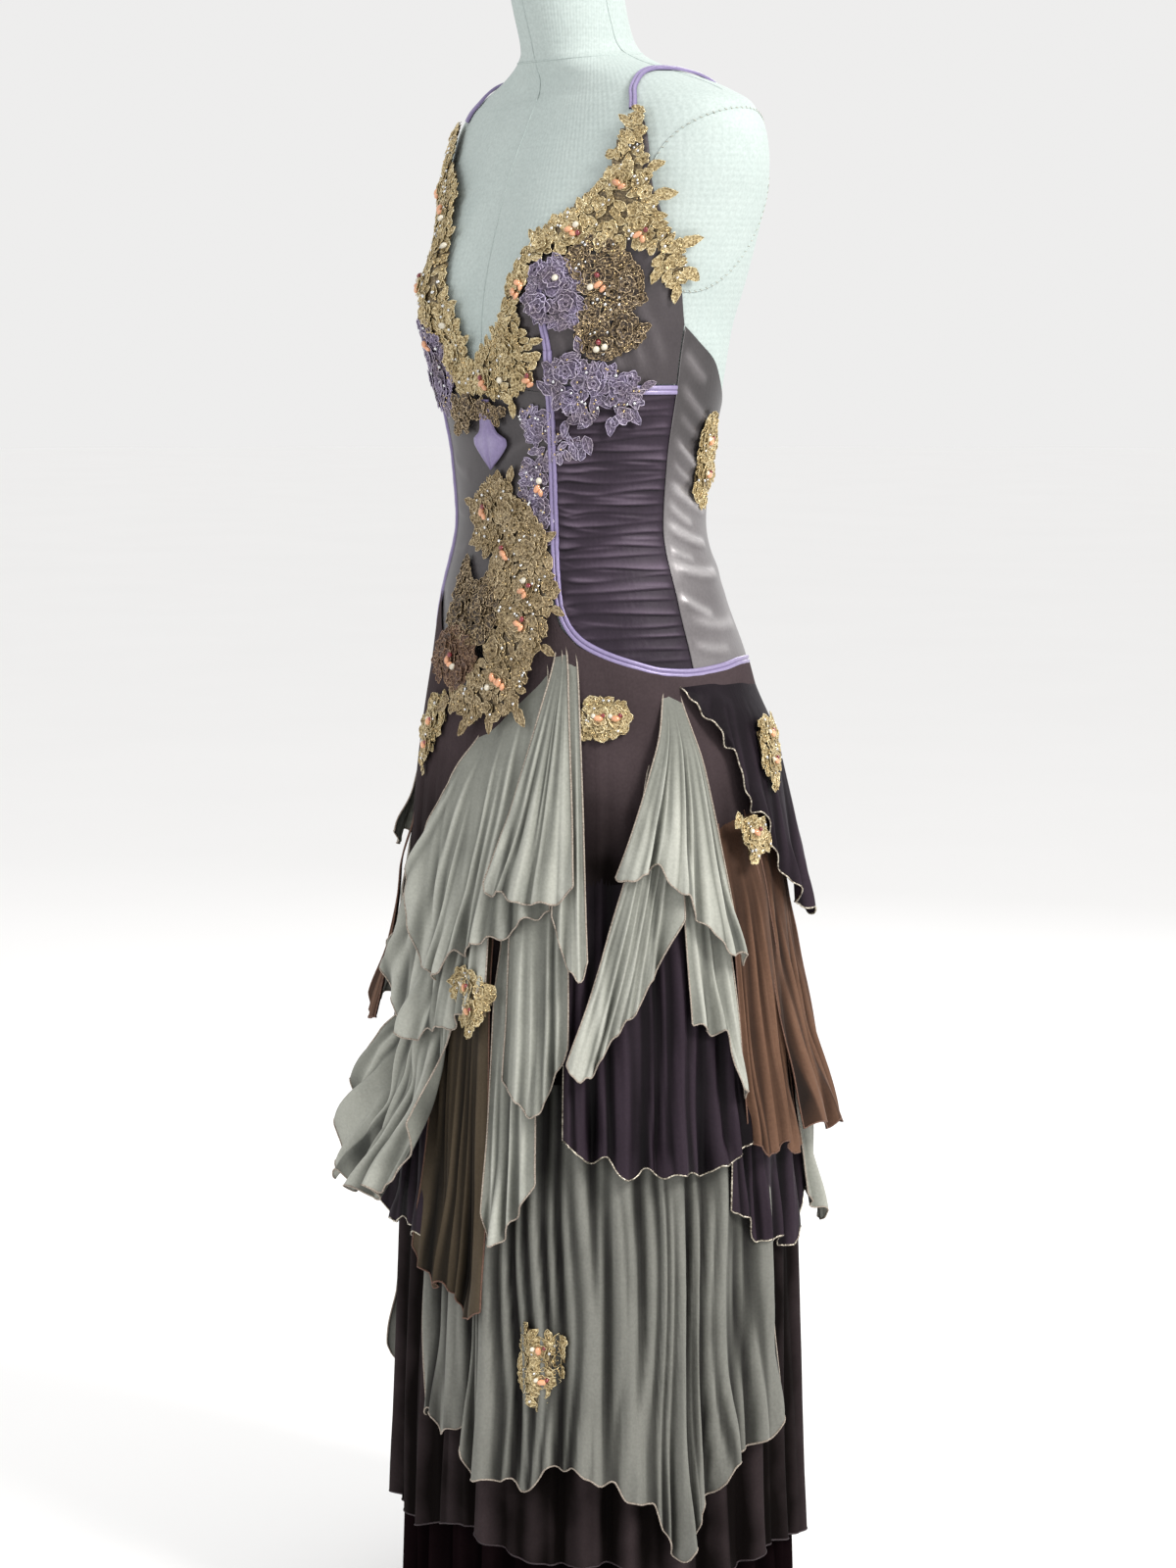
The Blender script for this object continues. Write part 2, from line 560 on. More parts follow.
def add_front_layers():
    """Front layers on the wearer's left, from the outermost down"""
    add_layer("front_leaf_a", 7.6, [
        [43.6, 947, 23, 731], [44.3, 948, 27, 724], [44.9, 949, 32, 719], [45.4, 950, 37, 717], [45.9, 950, 43, 722],
        [46.4, 950, 49, 729],
    ], *SAGE_KIND, folds=[[0.12, 0.1, 6, 0.15], [0.45, 0.1, 9, 0.1], [0.8, 0.11, 8, 0.1]],
        creases=[[0.06, 0.02, 1.6, 0.2], [0.27, 0.03, 2.2, 0.1], [0.36, 0.015, 1.2, 0.3], [0.58, 0.02, 1.8, 0.1],
                 [0.67, 0.03, 2.4, 0.05], [0.9, 0.02, 1.6, 0.15]], seed=11, curl=2.4, room=2.2)
    add_layer("front_leaf_b", 6.4, [
        [45.0, 947, 43.0, 704], [46.4, 946, 46.0, 678], [47.8, 946, 48.6, 660], [48.9, 945, 50.8, 651],
        [49.8, 944, 52.4, 668],
    ], *SAGE_KIND, folds=[[0.4, 0.2, 5, 0.7]], creases=[[0.2, 0.05, 1.5, 0.2], [0.7, 0.06, 1.8, 0.1]], seed=12)
    add_layer("front_leaf_c", 6.4, [
        [10, 861, -14, 749], [13, 868, -9, 694], [16, 875, -1, 645], [20, 884, 5, 641], [24, 893, 11, 659],
        [28, 902, 17, 671], [32, 912, 24, 680], [35.5, 921, 34, 696], [39, 932, 42.4, 711],
    ], *SAGE_KIND, folds=[[0.12, 0.08, 6, 0.25], [0.42, 0.08, 6, 0.25]],
        creases=[[0.05, 0.015, 1.4, 0.2], [0.21, 0.02, 1.8, 0.1], [0.3, 0.014, 1.3, 0.25], [0.52, 0.02, 1.9, 0.1],
                 [0.61, 0.015, 1.3, 0.2], [0.7, 0.022, 2.0, 0.05], [0.8, 0.014, 1.4, 0.3], [0.88, 0.02, 1.7, 0.1]],
        seed=13, curl=2.2, room=1.5)
    add_layer("front_leaf_d", 5.4, [
        [5, 828, -32, 654], [8, 833, -24, 612], [11, 838, -12, 576], [14, 843, -3, 583], [17, 848, 6, 594],
        [20, 853, 14, 606], [24, 858, 23, 640],
    ], *SAGE_KIND, folds=[[0.08, 0.08, 7, 0.5], [0.4, 0.1, 7, 0.72]],
        creases=[[0.18, 0.02, 1.6, 0.2], [0.29, 0.015, 1.2, 0.3], [0.52, 0.02, 1.7, 0.2], [0.63, 0.016, 1.2, 0.25],
                 [0.74, 0.022, 1.8, 0.1], [0.88, 0.016, 1.3, 0.3]], seed=14, curl=2.2)
    add_layer("front_leaf_e", 4.1, [
        [0, 794, -39, 522], [3, 797, -39.5, 470], [6, 800, -36, 425], [9, 803, -28, 423], [12, 806, -18, 427],
        [15, 809, -5, 440], [18, 812, 4, 500],
    ], *SAGE_KIND, folds=[[0.25, 0.12, 8, 0.75]], creases=[[0.1, 0.02, 1.6, 0.3], [0.38, 0.025, 2.0, 0.3],
                                                      [0.5, 0.016, 1.4, 0.4], [0.64, 0.022, 1.8, 0.2],
                                                      [0.78, 0.02, 1.5, 0.35], [0.9, 0.016, 1.3, 0.3]],
        flare=30, flare_from=0.68, seed=15, curl=3.4, room=1.3)
    add_layer("front_leaf_f", 5.4, [
        [29.5, 770, 29, 556], [36, 776, 34.5, 540], [39.5, 778, 39.5, 529], [43, 780, 43, 560], [47, 780, 47.5, 592],
    ], *SAGE_KIND, folds=[[0.5, 0.14, 6, 0.6]], creases=[[0.2, 0.03, 1.6, 0.2], [0.36, 0.02, 1.2, 0.3],
                                                    [0.66, 0.03, 1.6, 0.2], [0.84, 0.03, 1.8, 0.15]], seed=16)
    add_layer("front_leaf_g", 4.2, [
        [24.6, 700, 23.6, 436], [29, 704, 27, 405], [32.5, 706, 31.6, 430], [36, 708, 38.6, 462],
    ], *SAGE_KIND, folds=[[0.4, 0.14, 6, 0.7]], creases=[[0.18, 0.04, 1.6, 0.3], [0.62, 0.05, 1.9, 0.3],
                                                    [0.84, 0.03, 1.5, 0.4]], seed=17, curl=2.4)
    add_layer("front_panel_brown", 3.4, [
        [2, 726, -5, 384], [8, 729, 2, 358], [11.5, 731, 8, 360], [15, 732, 13, 358], [18.5, 733, 17, 337],
        [22, 734, 24.6, 341],
    ], *OLIVE_KIND, folds=[[0.3, 0.12, 5, 0.85], [0.8, 0.12, 6, 0.9]],
        creases=[[0.1, 0.03, 1.6, 0.2], [0.23, 0.02, 1.4, 0.3], [0.44, 0.025, 1.8, 0.2], [0.56, 0.02, 1.5, 0.35],
                 [0.68, 0.03, 1.7, 0.2], [0.9, 0.025, 1.6, 0.25]], seed=18, curl=2.4)


def add_side_layers():
    """Side layers hung from the hip piping, and the same kind on the wearer's right"""
    upper = [
        [77.6, 907, 59.5, 747], [78.4, 908, 64.5, 738], [79, 908, 69, 753], [79.6, 908, 73, 736], [80.2, 908, 77, 716],
        [80.8, 908, 82, 697], [81.4, 908, 87.5, 672], [82, 907, 92.3, 661],
    ]
    middle = [
        [71, 846, 47.4, 574], [72.5, 851, 51, 567], [74, 855, 55, 578], [75.5, 859, 60, 612], [77, 863, 64, 626],
        [78, 866, 69, 660], [79, 866, 76, 702],
    ]
    lower = [
        [76, 812, 78, 612], [78.5, 814, 82.5, 604], [81, 816, 87, 600], [83.5, 818, 90, 556], [86, 818, 94.4, 541],
    ]
    upper_folds = [[0.1, 0.09, 6, 0.12], [0.4, 0.09, 9, 0.1], [0.75, 0.1, 8, 0.12]]
    upper_creases = [[0.03, 0.015, 1.5, 0.2], [0.2, 0.022, 2.0, 0.1], [0.29, 0.015, 1.3, 0.3], [0.52, 0.022, 2.0, 0.1],
                     [0.62, 0.018, 1.5, 0.2], [0.86, 0.02, 1.8, 0.1], [0.94, 0.014, 1.2, 0.3]]
    middle_creases = [[0.05, 0.02, 1.5, 0.2], [0.24, 0.022, 1.8, 0.2], [0.36, 0.016, 1.3, 0.3], [0.5, 0.022, 1.8, 0.1],
                      [0.66, 0.018, 1.4, 0.2], [0.82, 0.022, 1.7, 0.1]]
    add_layer("side_leaf_upper_left", 7.2, upper, *SAGE_KIND, folds=upper_folds, creases=upper_creases, seed=21,
              curl=2.6, room=2.2)
    add_layer("side_leaf_middle_left", 6.0, middle, *SAGE_KIND, folds=[[0.12, 0.1, 7, 0.45]], creases=middle_creases,
              seed=22, curl=2.2)
    add_layer("side_leaf_lower_left", 5.1, lower, *SAGE_KIND, folds=[[0.75, 0.14, 6, 0.8]],
              creases=[[0.2, 0.04, 1.5, 0.2], [0.5, 0.03, 1.6, 0.3], [0.88, 0.03, 1.4, 0.4]], seed=23, curl=2.2)

    def right_rows(rows, drop, spread):
        return [[top * spread, top_height, hem * spread, hem_height + drop]
                for top, top_height, hem, hem_height in mirrored(rows)]

    add_layer("side_leaf_upper_right", 7.2, right_rows(upper, -14, 1), *SAGE_KIND, folds=upper_folds,
              creases=uneven_creases(24, 8, 1.9), seed=24, curl=2.6, room=2.0)
    add_layer("side_leaf_middle_right", 6.0, right_rows(middle, 18, 1.07), *SAGE_KIND, folds=[[0.86, 0.1, 7, 0.45]],
              creases=uneven_creases(25, 7, 1.7), seed=25, curl=2.2)
    add_layer("side_panel_brown_front", 4.4, [
        [-43.4, 776, -49, 588], [-42, 782, -45, 574], [-40.6, 782, -41, 573], [-39.2, 776, -37, 582],
    ], *BROWN_KIND, folds=[[0.5, 0.2, 5, 0.5]], creases=[[0.25, 0.04, 1.5, 0.3], [0.72, 0.04, 1.6, 0.3]],
        flare=15, seed=26)


def add_back_layers():
    """Layers of the back"""
    top = [
        [82.6, 905, 84.6, 893], [89, 908, 90.5, 867], [95, 910, 96, 845], [99.5, 911, 98.6, 803],
        [105, 912, 104.5, 784], [111, 914, 111, 744], [118, 913, 117, 712], [125, 912, 124, 697],
        [132, 911, 131, 687], [139.5, 908, 139, 697],
        [147, 906, 147, 728], [154.5, 904, 154.5, 760], [162, 902, 162, 788], [171, 900, 171, 812],
        [179.7, 899, 179.7, 826],
    ]
    left_folds = [[0.43, 0.04, 5, 0.3], [0.57, 0.04, 6, 0.3], [0.71, 0.04, 5, 0.3]]
    right_folds = [[0.29, 0.04, 6, 0.3], [0.43, 0.04, 5, 0.3]]
    add_layer("back_overlay_left", 5.6, top, *PLUM_KIND, folds=left_folds, creases=uneven_creases(31, 16, 1.7),
              seed=31)
    add_layer("back_overlay_right", 5.6, mirrored(top), *PLUM_KIND, folds=right_folds,
              creases=uneven_creases(32, 16, 1.7), seed=32)
    add_layer("back_panel_brown_a", 4.4, [
        [91, 790, 95.5, 508], [94, 796, 99, 481], [97, 798, 105, 492], [100, 800, 111, 476], [104, 802, 119, 487],
    ], *BROWN_KIND, folds=[[0.3, 0.14, 6, 0.6], [0.75, 0.14, 7, 0.6]],
        creases=[[0.12, 0.03, 1.8, 0.1], [0.24, 0.02, 1.5, 0.3], [0.44, 0.03, 2.0, 0.1], [0.56, 0.02, 1.5, 0.2],
                 [0.66, 0.025, 1.7, 0.1], [0.88, 0.03, 1.8, 0.2]], seed=33, curl=2.2)
    add_layer("back_panel_brown_b", 4.0, [
        [101, 800, 113, 497], [106.6, 800, 122, 500], [111, 800, 127, 491], [116, 798, 132, 490], [121, 796, 137, 500],
    ], *BROWN_KIND, folds=[[0.5, 0.2, 6, 0.5]], creases=[[0.2, 0.04, 1.8, 0.1], [0.38, 0.025, 1.5, 0.2],
                                                    [0.7, 0.04, 1.9, 0.1], [0.86, 0.03, 1.5, 0.2]],
        flare=20, seed=34, curl=2.2)
    add_layer("back_panel_brown_c", 4.4, [
        [-124, 800, -142, 520], [-118, 800, -134, 498], [-112, 800, -126, 486], [-106, 798, -118, 494],
        [-99, 790, -108, 512],
    ], *BROWN_KIND, folds=[[0.3, 0.12, 7, 0.6], [0.75, 0.12, 6, 0.6]], creases=uneven_creases(35, 8, 1.8), flare=12,
        seed=35, curl=2.2)
    add_layer("back_leaf", 3.6, [
        [119, 738, 129, 420], [125, 741, 134, 396], [128.5, 742, 139, 410], [133, 743, 150, 455],
    ], *SAGE_KIND, folds=[[0.4, 0.2, 6, 0.8]], creases=uneven_creases(36, 6, 1.6), seed=36, curl=2.2)
    add_layer("back_leaf_centre_left", 4.4, [
        [150, 850, 146, 640], [156, 856, 154, 604], [163, 860, 162, 586], [170, 862, 171, 598], [178, 862, 182, 640],
    ], *SAGE_KIND, folds=[[0.3, 0.12, 7, 0.65], [0.7, 0.12, 7, 0.65]], creases=uneven_creases(37, 8, 1.6), seed=37)
    add_layer("back_leaf_centre_right", 4.4, [
        [-174, 862, -172, 660], [-167, 862, -165, 622], [-160, 860, -157, 590], [-153, 856, -150, 612],
        [-147, 850, -144, 655],
    ], *SAGE_KIND, folds=[[0.3, 0.12, 7, 0.65], [0.7, 0.12, 7, 0.65]], creases=uneven_creases(38, 8, 1.6), seed=38)


def tier_rows(top, bow, hem):
    """Rows of a wide tier from its hem, its top edge bowed up in the middle."""
    last = len(hem) - 1
    return [[turn, top + 4 * (i / last) * (1 - i / last) * bow, turn, height] for i, (turn, height) in enumerate(hem)]


def add_tiers():
    """Wide tiers under the leaves"""
    add_layer("tier_plum_left", 3.2, tier_rows(735, 8, [
        [45.6, 507], [50, 495], [56, 493], [62, 473], [68.5, 484], [75, 474], [82.5, 474], [90, 485], [97, 491],
    ]), *PLUM_KIND, folds=[[0.2, 0.05, 4, 0.9], [0.55, 0.05, 5, 0.9], [0.85, 0.05, 5, 0.9]],
        creases=uneven_creases(41, 15, 1.8), seed=41, curl=2.6, room=1.3)
    add_layer("tier_plum_back", 2.4, tier_rows(692, 8, [
        [92, 437], [97, 422], [101, 404], [104, 400], [111, 395], [118, 387], [125, 396], [132, 428], [139.5, 440],
        [147, 452], [154.5, 440], [162, 440], [168, 446], [175, 455], [179.5, 450],
    ]), *PLUM_KIND, creases=uneven_creases(42, 22, 1.6), seed=42, curl=2.2)
    add_layer("tier_plum_front", 2.9, tier_rows(650, 0, [
        [-59, 434], [-51, 420], [-43.5, 424], [-36, 399], [-28.5, 392], [-21, 396], [-14, 400], [-7, 394], [0.5, 398],
        [3.4, 404],
    ]), *PLUM_KIND, folds=[[0.5, 0.07, 4, 0.9]], creases=uneven_creases(43, 14, 1.5), seed=43, curl=2.2)
    add_layer("tier_plum_right", 2.9, tier_rows(698, 8, [
        [-179.5, 436], [-172, 440], [-164, 452], [-156, 436], [-148.5, 430], [-141, 444], [-134, 436], [-127, 420],
        [-119.5, 424], [-112, 440], [-104, 455], [-96, 468], [-88.5, 480], [-81, 478], [-74, 480], [-67, 490],
    ]), *PLUM_KIND, creases=uneven_creases(44, 24, 1.6), seed=44, curl=2.2)
    add_layer("tier_sage_left", 1.95, tier_rows(530, 26, [
        [-3.5, 236], [0.5, 230], [8, 223], [15, 234], [18.5, 199], [22, 190], [29, 190], [36, 190], [43, 206],
        [50, 210], [56, 196], [62, 188], [68.5, 176], [72, 139], [75, 131], [79, 140], [82.5, 172], [90, 195],
        [97, 214], [104, 219], [110.8, 232],
    ]), *TIER_KIND, creases=uneven_creases(45, 32, 2.0), seed=45, curl=3.0, room=1.25)
    add_layer("tier_sage_right", 1.95, tier_rows(525, 26, [
        [-127, 246], [-119.5, 222], [-112, 208], [-104, 214], [-96, 200], [-88.5, 150], [-85, 140], [-81, 142],
        [-74, 182], [-67, 200], [-59, 215], [-54, 232],
    ]), *TIER_KIND, creases=uneven_creases(46, 20, 2.0), seed=46, curl=3.0, room=1.25)
    add_layer("tier_sage_back", 1.95, tier_rows(430, 5, [
        [156, 236], [162, 214], [168, 196], [175, 150], [181, 146], [188, 192], [196, 210], [204, 230],
    ]), *TIER_KIND, creases=uneven_creases(47, 12, 2.0), seed=47, curl=2.8)


# The front of the seam that the skirt hangs from; behind it the seam follows the piping.
FRONT_SEAM = table("turn height", [
    [0, 867.6], [12, 890.4], [24, 921.4], [34.5, 954.4], [41.2, 976], [42.7, 968], [45, 953], [50.5, 938],
    [58, 928.2], [67.5, 919.7],
])


def hip_seam(turn):
    """Height of the seam that the skirt hangs from"""
    at = np.abs(wrap(turn))
    lower = beside(PRINCESS, -(PIPING_WIDTH / 2 + SEAM))
    behind = np.interp(at, lower["turn"], lower["height"]) - 0.4
    before = np.interp(at, FRONT_SEAM["turn"], FRONT_SEAM["height"])
    return np.where(at < FRONT_SEAM["turn"][-1], before, behind)


def add_skirt_tube(name, level, material, slot, hem_height, steps, lift):
    """One skirt layer all round, hung from the hip seam; its four gores are the solids that it stands for."""
    nodes = [f"{name}_{part}" for part in ("front_left", "back_left", "back_right", "front_right")]
    turn = np.linspace(-180, 180, 401)[:-1][:, None]
    down = np.concatenate([np.linspace(0, 0.08, 8)[:-1], np.linspace(0.08, 1, steps)])[None, :]
    top = hip_seam(turn) + 3.0
    height = top + (hem_height(turn) - top) * down
    curled = 1.6 * np.sin(np.radians(turn) * 37) * ease((down - 0.85) / 0.15)
    grid = on_skirt(level, turn, height, lift + curled)
    valley = skirt_folds(turn, height) - 0.1 * along(FLUTE_DEPTH, "out", height)
    tone = np.clip(0.5 + 0.022 * valley + 0.47 * ease((height - 720) / 150), 0.02, 0.98)
    whole = np.concatenate([grid, grid[:1]])
    add_cloth(name, grid, material, slot, tone * np.ones(height.shape), nodes,
              hem=lambda: rolled_hem(name, whole, DARK_HEM, slot, sides_too=False), closed=True)


def add_skirt():
    """Inner skirt and sheer overlay; each hem is a height that wavers with the turn"""
    add_skirt_tube("skirt_inner", 0.0, DEEP, "deep_plum_chiffon",
                   lambda turn: 24 + 5 * np.sin(np.radians(turn * 3 + 40)), 28, 0.4)
    add_skirt_tube("skirt_overlay", OVERLAY_LEVEL, SHEER, "sheer_brown_chiffon",
                   lambda turn: 116 + 14 * np.sin(np.radians(turn * 2 + 65)) + 7 * np.sin(turn * 0.13), 32, 0.5)


# Dress form and stand

def add_form():
    """The canvas form, smooth and whole, with its seams"""
    heights = np.concatenate([np.linspace(FORM_BOTTOM, 1400, 84), np.linspace(1403, 1475, 36),
                              np.linspace(1478, FORM_TOP, 12)])
    turn = np.linspace(-180, 180, 121)[:-1]
    grid = on_form(turn[:, None], heights[None, ::-1], 0)
    points = list(grid.reshape(-1, 3))
    faces = grid_faces(len(turn), len(heights), closed=True).tolist()
    rows, columns = len(heights), len(turn)

    def cap(ring, centre, upward):
        """A rounded lid over the first or last ring"""
        edge = grid[:, ring]
        last = [k * rows + (ring if ring >= 0 else rows - 1) for k in range(columns)]
        for share in (0.93, 0.75, 0.45):
            rise = (centre[2] - edge[0, 2]) * (1 - share ** 2)
            new = [len(points) + k for k in range(columns)]
            for k in range(columns):
                flat = np.array(centre) + (edge[k] - centre) * share
                points.append(np.array([flat[0], flat[1], edge[k, 2] + rise]))
            for k in range(columns):
                quad = [last[k], new[k], new[(k + 1) % columns], last[(k + 1) % columns]]
                faces.append(quad[::-1] if upward else quad)
            last = new
        points.append(np.array(centre, float))
        for k in range(columns):
            corner = [last[k], len(points) - 1, last[(k + 1) % columns]]
            faces.append(corner[::-1] if upward else corner)

    cap(0, np.array([0, -29, FORM_TOP + 11.5]), True)
    cap(-1, np.array([0, 8, FORM_BOTTOM - 0.2]), False)
    uv = np.array([[math.atan2(p[0], -(p[1] - 8)) * 0.15, p[2] * MM] for p in points])
    chance = np.random.default_rng(5)
    tone = np.clip(0.55 + 0.02 * chance.standard_normal(len(points)), 0, 1)
    ready(new_object("form_canvas", np.array(points), faces, CANVAS, uv, tone), "canvas", "form_torso")
    add_form_seams()


def seam_line(turn, height, radius=0.55, out=0.1):
    """A raised seam on the form"""
    return tube(even_path(on_form(turn, height, out), 4.5), radius, 5)


STITCH_STEP = 6.0
STITCH_LENGTH = 4.2


def stitches(turn, height, seed):
    """Short hand stitches along a line on the form"""
    path = even_path(on_form(turn, height, 0.5), STITCH_STEP)
    chance = np.random.default_rng(seed)
    shapes = []
    for here, after in zip(path[:-1], path[1:]):
        ahead = (after - here) / np.linalg.norm(after - here)
        away = here - np.array([0, 10, here[2]])
        away /= np.linalg.norm(away)
        side = np.cross(ahead, away)
        tilt = chance.uniform(0.2, 0.7)
        run = (ahead * (1 - tilt) + side * tilt) * STITCH_LENGTH / 2
        mid = (here + after) / 2
        line = np.array([mid - run, mid + away * 0.35, mid + run])
        shapes.append(tube(line, [0.32, 0.42, 0.32], 5))
    return shapes


def armhole_line(sign):
    """Edge of the arm plate round the shoulder's side"""
    spin = np.linspace(0, 2 * math.pi, 60)
    turn = 90 + 24 * np.cos(spin) + 3 * np.sin(spin)
    height = 1330 + 78 * np.sin(spin) + 6 * np.cos(2 * spin)
    return sign * turn, height


def add_form_seams():
    """Seams of the canvas: centre front and back, shoulders, neck base and arm plates"""
    heights = np.linspace(FORM_BOTTOM + 8, FORM_TOP - 4, 90)
    around = np.linspace(-180, 180, 120)
    neck = 1453 - 5 * np.cos(np.radians(around))
    shapes = [seam_line(0, heights), seam_line(179.9, heights), seam_line(around, neck, 0.7)]
    for sign in (1, -1):
        climb = np.linspace(1418, 1536, 30)
        shapes += [seam_line(sign * (92 + 6 * ease((climb - 1440) / 40)), climb), seam_line(*armhole_line(sign), 0.7)]
    ready(new_object("form_seams", *joined(shapes), CANVAS), "canvas")
    thread = stitches(*armhole_line(1), seed=3) + stitches(*armhole_line(-1), seed=4)
    ready(new_object("form_stitches", *joined(thread), STITCH), "canvas")


def add_stand_look():
    """Powder-coated look on the pole and base"""
    coat = thread_material("powder coat", (0.028, 0.028, 0.03), (0.042, 0.042, 0.045), 0.5, scale=1600.0,
                           strength=0.25)
    for name in ("stand_base", "stand_pole"):
        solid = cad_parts[name]
        solid.data.materials.clear()
        solid.data.materials.append(coat)


# Bodice

def body_piece(name, rows, material, slot, out, columns, lines, tone_gain, shaded=0.0):
    """A piece of the bodice that lies on the form, moved out by a function of turn, height and share"""
    share, (top, top_height, hem_turn, hem_height) = smooth_rows(rows, columns)
    down = np.linspace(0, 1, lines)[None, :]
    share = share[:, None]
    turn = top[:, None] + (hem_turn - top)[:, None] * down
    height = top_height[:, None] + (hem_height - top_height)[:, None] * down
    raised = out(turn, height, share) * np.ones(turn.shape)
    grid = on_form(turn, height, raised)
    facing_up = np.gradient(raised, axis=1) / -np.gradient(height, axis=1)
    upper = 0.3 - ease((height - 1060) / 80)
    tone = np.clip(0.5 + tone_gain * (raised - raised.mean()) + 0.4 * facing_up + shaded * upper, 0.02, 0.98)
    add_cloth("cloth_" + name, grid, material, slot, tone, [name])


def drags(turn, height, rows, sign):
    """Drag wrinkles: ridges that run aslant across a piece; rows are in turns and heights."""
    total = np.zeros(np.broadcast(turn, height).shape)
    for from_turn, from_height, to_turn, to_height, wide, out in rows:
        x, z = sign * turn * PER_DEGREE, height
        ax, az, bx, bz = from_turn * PER_DEGREE, from_height, to_turn * PER_DEGREE, to_height
        length = math.hypot(bx - ax, bz - az)
        t = ((x - ax) * (bx - ax) + (z - az) * (bz - az)) / length ** 2
        off = ((x - ax) * (bz - az) - (z - az) * (bx - ax)) / length
        bow = 0.06 * length * (1 - (2 * np.clip(t, 0, 1) - 1) ** 2)
        total = total + out * bell(off - bow, wide) * ease(t / 0.25) * ease((1 - t) / 0.25)
    return total


# Drag wrinkles of the side back, from its side seam towards the centre back
BACK_DRAGS = [
    [90, 1196, 104, 1166, 4.5, 1.8], [89.5, 1168, 112, 1128, 4.0, 2.2], [91, 1142, 108, 1116, 3.0, 1.6],
    [89.5, 1122, 116, 1084, 3.8, 2.9], [91, 1100, 104, 1080, 2.6, 1.5], [89.5, 1082, 121, 1052, 3.8, 3.1],
    [90.5, 1064, 107, 1042, 2.8, 1.8], [89.5, 1046, 118, 1024, 3.6, 3.0], [91, 1024, 104, 1012, 2.8, 1.5],
    [89.5, 1010, 122, 1000, 4.4, 2.5], [90, 984, 106, 962, 4.2, 2.0], [92, 962, 124, 956, 5.0, 1.6],
    [91, 940, 110, 934, 4.0, 1.2], [128, 1104, 152, 1070, 8.0, 1.5], [134, 1058, 168, 1036, 9.0, 1.6],
    [126, 1012, 150, 984, 9.0, 1.4], [150, 1090, 172, 1076, 8.0, 1.0],
]

# Drag wrinkles of the front panel's sides and of the cups
FRONT_DRAGS = [
    [36, 1118, 14, 1096, 4.5, 1.0], [38, 1080, 18, 1066, 5.0, 1.1], [38, 1044, 14, 1036, 5.0, 1.2],
    [40, 1008, 16, 1010, 5.5, 1.0], [38, 976, 12, 984, 6.0, 0.9], [-36, 1102, -12, 1084, 4.5, 0.9],
    [-38, 1058, -14, 1050, 5.0, 1.1], [-39, 1016, -16, 1020, 5.5, 1.0], [-36, 978, -10, 962, 6.0, 0.8],
    [10, 930, -8, 952, 6.0, 0.8],
]
CUP_DRAGS = [
    [84, 1170, 64, 1252, 5.0, 1.1], [76, 1169, 58, 1240, 4.5, 1.2], [68, 1169, 52, 1226, 4.0, 1.1],
    [58, 1169, 47, 1216, 3.8, 1.0], [48, 1170, 42, 1214, 3.6, 0.9], [30, 1166, 33, 1214, 3.8, 0.9],
    [20, 1170, 27, 1216, 3.6, 0.9], [80, 1222, 68, 1280, 5.0, 0.9],
]

# Gathers of the ruched side, from the seat of the cup down: height at the front and at the side, width, out
GATHERS = [
    [1151, 1153, 2.6, 1.7], [1143, 1146, 2.4, 1.4], [1134, 1138, 2.9, 2.0], [1126, 1127, 2.2, 1.2],
    [1117, 1121, 2.8, 1.9], [1108, 1111, 2.4, 1.5], [1099, 1100, 3.0, 2.1], [1090, 1093, 2.3, 1.3],
    [1081, 1083, 2.8, 1.9], [1071, 1074, 2.6, 1.6], [1062, 1063, 2.9, 2.1], [1053, 1056, 2.3, 1.3],
    [1044, 1046, 2.9, 2.0], [1034, 1037, 2.5, 1.5], [1025, 1026, 2.9, 2.0], [1015, 1018, 2.5, 1.5],
    [1006, 1007, 3.0, 2.1], [996, 999, 2.5, 1.4], [986, 988, 2.8, 1.9], [976, 979, 2.6, 1.5],
    [966, 968, 2.9, 1.9], [956, 958, 2.5, 1.4], [946, 947, 2.8, 1.6], [936, 937, 2.5, 1.2], [928, 928, 2.3, 0.9],
]


def gather_out(turn, height, share, seed):
    """Uneven gathered ridges that fork and fade on their way across"""
    chance = np.random.default_rng(seed)
    total = np.zeros(np.broadcast(turn, height).shape)
    for front, side, wide, out in GATHERS:
        sway = chance.uniform(0.8, 2.4) * np.sin(share * chance.uniform(4, 9) + chance.uniform(0, 6.3))
        swell = 0.75 + 0.4 * np.sin(share * chance.uniform(5, 11) + chance.uniform(0, 6.3))
        above = height - (front + (side - front) * share + sway)
        total = total + out * swell * ease((above + 0.9) / 1.8) * np.exp(-np.maximum(above, 0) / (1.9 * wide))
    for _ in range(46):
        at, middle = chance.uniform(0.05, 0.95), chance.uniform(930, 1152)
        slope = chance.uniform(-14, 14)
        ridge = chance.uniform(0.4, 1.0) * bell(height - middle - slope * (share - at), 1.5)
        total = total + ridge * bell(share - at, 0.13)
    return total


